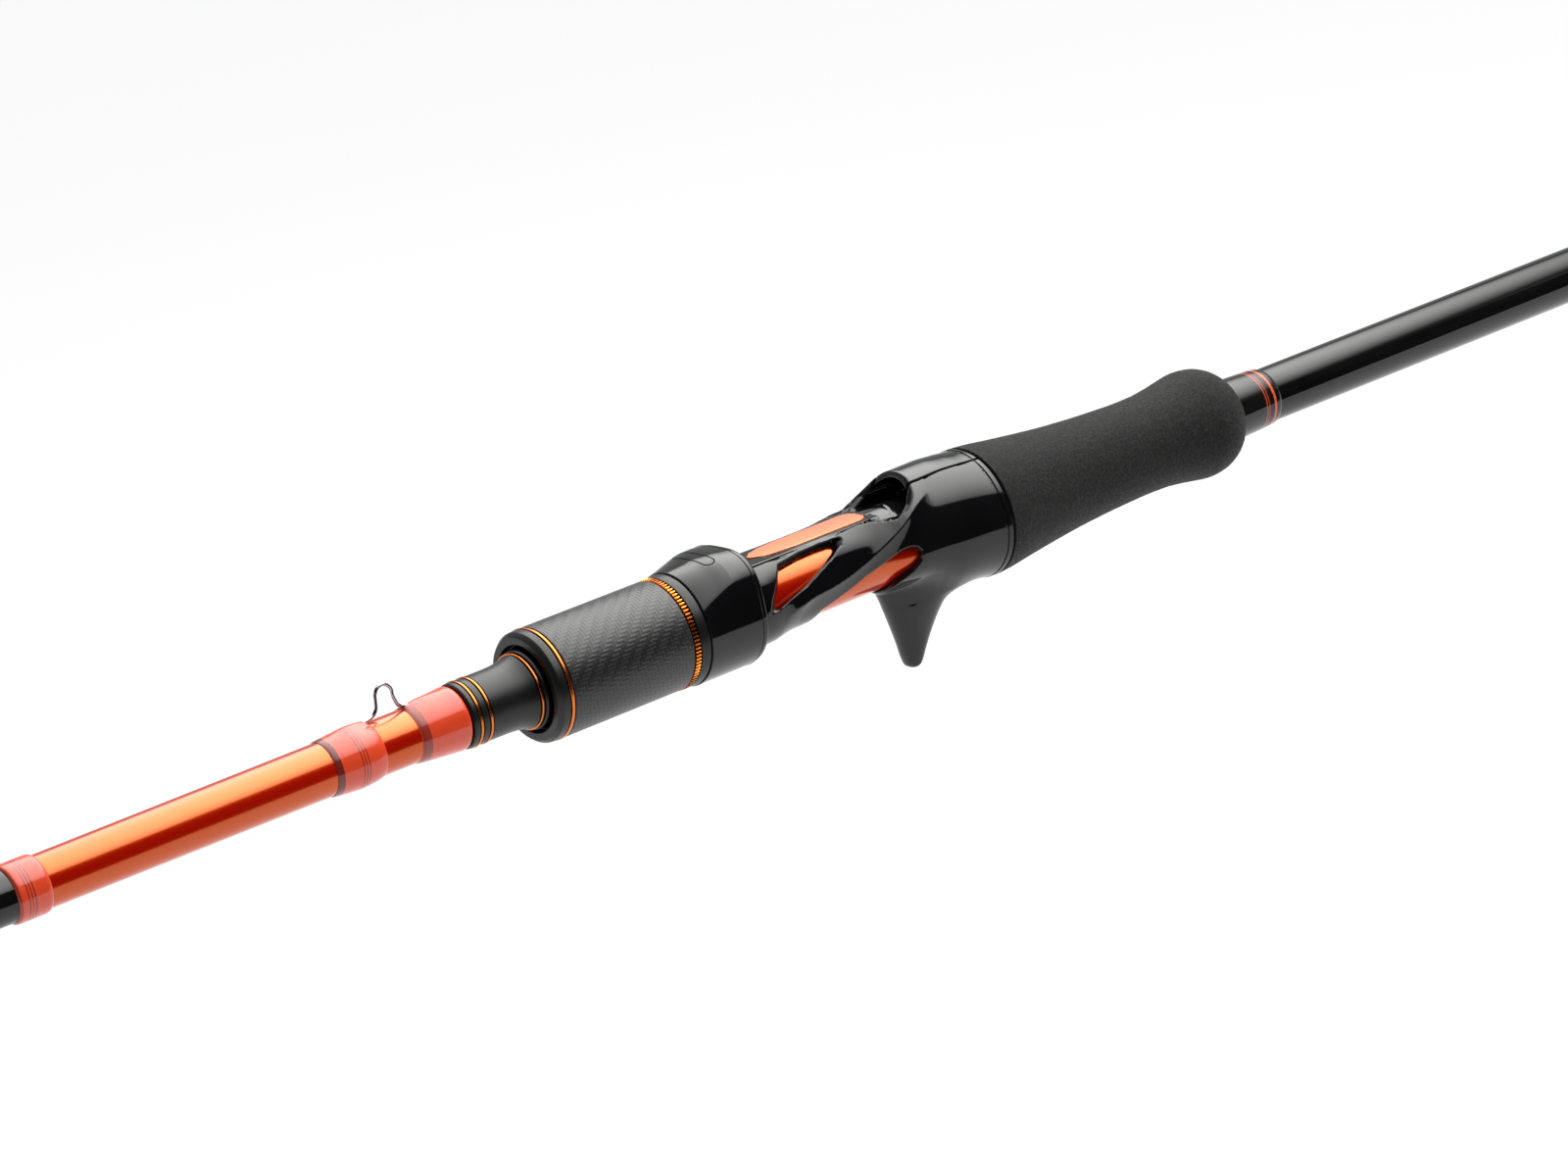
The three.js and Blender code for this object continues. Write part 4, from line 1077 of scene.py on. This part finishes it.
# ------------------------------------------------------------------ grips and windings
GRIP = [(320.7, 15.0), (317, 14.72), (311.4, 14.0), (305.9, 13.35), (300.4, 12.75), (294.8, 12.2), (289.2, 11.8), (283.6, 11.48), (277.9, 11.25), (272.2, 11.1),
        (267.0, 11.18), (261.8, 11.65), (256.4, 12.45), (253.1, 12.85), (250.1, 12.6), (247.4, 11.7), (245.1, 10.2), (243.5, 8.5), (242.7, 7.4)]


def foam(name, rows, x_in, body, node, seed, seg=192):
    outer = smooth_curve(rows, 0.5)
    rng = np.random.default_rng(seed)
    x0, x1 = outer[0][0], outer[-1][0]
    prof = [*outer[:-1], (outer[-1][0] - 0.12, outer[-1][1] - 0.02), (outer[-1][0], outer[-1][1] - 0.35), (x_in[1], blank_r(x_in[1]) + 0.12), (x_in[0], blank_r(x_in[0]) + 0.12)]

    def radial(x, t, r):
        if r[0] < blank_r(x) + 0.5:
            return r
        return r + rng.normal(0, 0.012, len(r))
    o = turned(name, prof, seg, 60, radial)
    return finish_piece(o, body, "eva_foam", [node])


foam("palm_foam", GRIP, (242.7, 320.7), "handle", "palm_grip", 3)
BUTT_GRIP = [(101, 7.6), (99.6, 8.8), (97, 10.2), (92, 11.5), (86, 12.0), (76, 12.25), (56, 12.5), (40, 12.95), (24, 13.7), (9.6, 14.4)]
foam("butt_foam", BUTT_GRIP, (9.6, 101), "handle", "butt_grip", 4)

MATS["rear_thread"] = thread_material("rear_thread", (0.0026, 0.0026, 0.003), (0.0060, 0.0060, 0.0065), spec=0.02,
                                      bands=[(234.75, 235.15, (0.50, 0.07, 0.02), 1.0), (234.0, 234.35, (0.40, 0.05, 0.015), 1.0), (231.75, 232.5, (0.80, 0.11, 0.035), 1.0),
                                             (103.2, 103.9, (0.80, 0.18, 0.07), 1.0), (105.0, 105.3, (0.6, 0.12, 0.05), 0.9)])


def winding(name, rows, node, seg=128):
    outer = smooth_curve(rows, 0.25)
    x0, x1 = outer[0][0], outer[-1][0]
    o = turned(name, [*outer, (x1, blank_r(x1) + 0.1), (x0, blank_r(x0) + 0.1)], seg, 50)
    return finish_piece(o, "handle", "rear_thread", [node])


winding("rear_thread_sleeve", [(229.9, 6.55), (230.4, 6.8), (231.8, 6.95), (235, 7.1), (239, 7.25), (242.6, 7.35)], "rear_winding")
winding("butt_thread_sleeve", [(101.4, 7.3), (104, 7.25), (109, 7.1), (112.2, 6.95), (113, 6.65)], "butt_winding")

# ------------------------------------------------------------------ butt ring and cap
finish_piece(turned("butt_trim", rounded([(9.3, 14.45), (7.9, 14.55), (7.9, 6.7), (9.3, 6.7)], [0.3, 0.3, 0, 0]), 144), "handle", "orange_anodised", ["butt_ring"])
finish_piece(turned("butt_cap_rubber", rounded([(0, 0), (0, 12.0), (0.6, 13.9), (2.6, 14.6), (6.2, 14.7), (7.6, 14.4), (7.6, 7.0), (6.3, 7.0), (6.3, 4.9), (20, 4.7), (20, 0)],
             [0, 0.4, 1.2, 1.2, 0.6, 0.3, 0, 0, 0, 0.4, 0], closed=False), 144), "handle", "rubber", ["butt_cap"])

# ------------------------------------------------------------------ guides
GUIDES = [("guide_1", 919, 4.9, 17.5, True), ("guide_2", 1189, 4.0, 13.8, False), ("guide_3", 1409, 3.3, 11.2, False), ("guide_4", 1594, 3.05, 9.6, False),
          ("guide_5", 1754, 3.05, 9.0, False), ("guide_6", 1894, 3.05, 8.6, False), ("guide_7", 2019, 3.05, 8.3, False)]
GH = 0.24


def ring_piece(name, x, r, ro, h, half, body, node):
    prof = rounded([(x - half, r + 0.25), (x - half * 0.55, r), (x + half * 0.55, r), (x + half, r + 0.25), (x + half, ro), (x - half, ro)], [0.3, 0.5, 0.5, 0.3, 0.15, 0.15], 5)
    o = turned(name, prof, 96, 40)
    o.data.transform(Matrix.Translation((0, 0, h * MM)))
    return finish_piece(o, body, "ceramic", [node])


for name, x, r, h, double in GUIDES:
    big = r > 4.5
    wr = 0.62 if big else 0.5
    ro = r + (0.95 if big else 0.75)
    hoop = ro + 0.2 + (0.75 if big else 0.6)
    t = 1.0 if big else 0.8
    side = (hoop + ro + 0.2) / 2
    feet = [(x + h * 0.62, 1, -0.55 if double else -0.35)] + ([(x - h * 0.78, -1, -0.15)] if double else [])
    foot_len = 11 if double else 10

    def field(px, py, pz, x=x, h=h, ro=ro, hoop=hoop, t=t, side=side, feet=feet, wr=wr, foot_len=foot_len):
        rr = np.sqrt(py ** 2 + (pz - h) ** 2)
        mid, halfr = (ro + 0.06 + hoop) / 2, (hoop - ro - 0.06) / 2
        qx, qr = np.abs(px - x) - t + 0.25, np.abs(rr - mid) - halfr + 0.25
        f = np.sqrt(np.maximum(qx, 0) ** 2 + np.maximum(qr, 0) ** 2) + np.minimum(np.maximum(qx, qr), 0) - 0.25
        for xf, d, sp in feet:
            zf = blank_r(xf) + 0.12
            for s in (-1, 1):
                a = (x, s * side * math.cos(sp), h + side * math.sin(sp))
                mid_p = (x + (xf - x) * 0.55, s * side * 0.62, h * 0.40 + zf * 0.35)
                b = (xf, s * 0.5, zf + 0.35)
                f = smin(f, capsule(px, py, pz, a, mid_p, wr * 0.92, wr), 0.45)
                f = smin(f, capsule(px, py, pz, mid_p, b, wr, wr * 0.8), 0.45)
            ex = (px - xf) * d
            w = min(1.15, blank_r(xf) * 0.62)
            tk = 0.62 - 0.40 * np.clip(ex / foot_len, 0, 1)
            ww = w * (1 - 0.35 * np.clip(ex / foot_len, 0, 1))
            foot = rbox(px, py / (ww / w), pz, (xf + d * (foot_len / 2 - 0.6), 0, zf + 0.3), (foot_len / 2 + 0.6, w, 0.34), 0.2)
            foot = smax(foot, pz - zf - 0.05 - tk, 0.1)
            f = smin(f, foot, 0.5)
        f = smax(f, ro + 0.06 - rr, 0.12)
        for xf, d, sp in feet:
            f = np.maximum(f, np.where(px * d > (xf - d * 2) * d, blank_r(xf) + 0.03 - np.sqrt(py ** 2 + pz ** 2), -9))
        return f
    lo_x = min(f_[0] + f_[1] * foot_len for f_ in feet + [(x - 2, 0, 0)]) - 2.0
    hi_x = max(f_[0] + f_[1] * foot_len for f_ in feet + [(x + 2, 0, 0)]) + 2.0
    z0 = min(blank_r(f_[0]) for f_ in feet) - 0.8
    body = "handle" if name == "guide_1" else "tip_section"
    g = implicit(name + "_frame_wire", field, (lo_x, -hoop - 1, z0), (hi_x, hoop + 1, h + hoop + 1), GH)
    finish_piece(g, body, "guide_steel", [name + "_frame"])
    ring_piece(name + "_insert", x, r, ro, h, t + 0.15, body, name + "_ring")
    for xf, d, sp in feet:
        a, b = xf + d * 1.0, xf + d * (foot_len + 3.5)
        lo_, hi_ = min(a, b), max(a, b)
        wname = name + ("_wrap_front" if d > 0 else "_wrap_rear") if double else name + "_wrap"

        def hump(q, xf=xf, d=d, foot_len=foot_len):
            ex = (q - xf) * d
            return 0.72 * max(0.0, min(1.0, (foot_len + 1.2 - ex) / 3.0)) * (1.0 if ex < 1.6 else 0.9)
        wrap_piece(name + ("_thread_a" if d > 0 else "_thread_b"), lo_, hi_, 0.34, body, "guide_thread" if "guide_thread" in MATS else "black_thread", wname, hump=hump, seg=64, step=0.3)

# tip-top
TX, TR, TRO, THO, THH = 2130.8, 3.05, 3.8, 4.6, 6.6


def tip_field(px, py, pz):
    rr = np.sqrt(py ** 2 + (pz - THH) ** 2)
    mid, halfr = (TRO + 0.06 + THO) / 2, (THO - TRO - 0.06) / 2
    qx, qr = np.abs(px - TX) - 0.55, np.abs(rr - mid) - halfr + 0.25
    f = np.sqrt(np.maximum(qx, 0) ** 2 + np.maximum(qr, 0) ** 2) + np.minimum(np.maximum(qx, qr), 0) - 0.25
    r = np.sqrt(py ** 2 + pz ** 2)
    tube = smax(np.maximum(r - 1.66, 1.24 - r), np.maximum(2108 - px, px - 2125.0), 0.2)
    plug = capsule(px, py, pz, (2125.2, 0, 0), (2126.4, 0, 0.1), 1.35, 1.0)
    f = smin(f, smin(tube, plug, 0.5), 0.3)
    for s in (-1, 1):
        f = smin(f, capsule(px, py, pz, (2114, s * 0.8, 1.5), (TX, s * 4.05, THH - 1.4), 0.42), 0.5)
        f = smin(f, capsule(px, py, pz, (2125.6, s * 0.5, 0.5), (TX, s * 2.3, THH - 3.7), 0.42), 0.5)
    return smax(f, TRO + 0.06 - rr, 0.12)


tt = implicit("tiptop_frame_wire", tip_field, (2107, -5.6, -2.4), (2132.6, 5.6, 12.2), GH)
finish_piece(tt, "tip_section", "guide_steel", ["tiptop_frame"])
ring_piece("tiptop_insert", TX, TR, TRO, THH, 0.95, "tip_section", "tiptop_ring")
wrap_piece("tiptop_thread", 2097, 2107.7, 0.30, "tip_section", "black_thread", "tiptop_wrap", seg=48, step=0.3)

# ------------------------------------------------------------------ studio: pale sweep, one large soft light overhead
FLOOR_Z = -0.45
LIGHT_Z = 1.2


def card(name, verts, mat):
    me = bpy.data.meshes.new(name)
    me.from_pydata(verts, [], [(0, 1, 2, 3)])
    me.materials.append(mat)
    o = link(bpy.data.objects.new(name, me))
    return o


paper = Mat("studio_paper")
paper.set(Base_Color=paper.mix(paper.noise(1.5, 2), (0.115, 0.115, 0.115), (0.125, 0.125, 0.125)), Roughness=0.9, Specular_IOR_Level=0.1)
paper.set(Emission_Color=(1.0, 1.0, 1.0), Emission_Strength=0.88)
card("studio_floor", [(-30, -40, FLOOR_Z), (30, -40, FLOOR_Z), (30, 30, FLOOR_Z), (-30, 30, FLOOR_Z)], paper.m)
# black card beside the camera: gives the gloss its dark band
flag_m = Mat("studio_flag")
flag_m.set(Base_Color=flag_m.mix(flag_m.noise(3, 2), (0.006, 0.006, 0.006), (0.010, 0.010, 0.010)), Roughness=1.0, Specular_IOR_Level=0.0)
flag = card("studio_flag", [(-5, 1.0, FLOOR_Z + 0.01), (5, 1.0, FLOOR_Z + 0.01), (5, 1.0, 0.615), (-5, 1.0, 0.615)], flag_m.m)
flag.visible_camera = False
world = bpy.data.worlds.new("studio")
world.use_nodes = True
world.node_tree.nodes["Background"].inputs[0].default_value = (0.97, 0.985, 1.0, 1)
world.node_tree.nodes["Background"].inputs[1].default_value = 0.42
bpy.context.scene.world = world
box_m = Mat("studio_softbox")
bx = box_m.xyz()
gx = box_m.math("DIVIDE", box_m.math("ADD", bx[0], 0.42), 0.80)
gy = box_m.math("DIVIDE", box_m.math("ADD", bx[1], 0.10), 1.72)
g2 = box_m.math("ADD", box_m.math("MULTIPLY", gx, gx), box_m.math("MULTIPLY", gy, gy))
glow = box_m.math("MULTIPLY", box_m.math("EXPONENT", box_m.math("MULTIPLY", g2, -1.0)), 6.5)
box_m.set(Base_Color=(0.0, 0.0, 0.0), Emission_Color=(1.0, 1.0, 0.985), Emission_Strength=glow, Specular_IOR_Level=0.0)
box = card("studio_softbox", [(-2.0, -1.92, LIGHT_Z), (2.6, -1.92, LIGHT_Z), (2.6, 1.92, LIGHT_Z), (-2.0, 1.92, LIGHT_Z)], box_m.m)
box.visible_camera = False
key = bpy.data.lights.new("softbox_fill", "AREA")
key.shape = "RECTANGLE"
key.size, key.size_y = 2.4, 3.6
key.energy = 0.25 * math.pi * key.size * key.size_y
ko = link(bpy.data.objects.new("softbox_fill", key))
ko.location = (-0.2, 0, LIGHT_Z - 0.02)
ko.visible_camera = False
bpy.context.scene.view_settings.view_transform = "Standard"
bpy.context.scene.view_settings.look = "None"
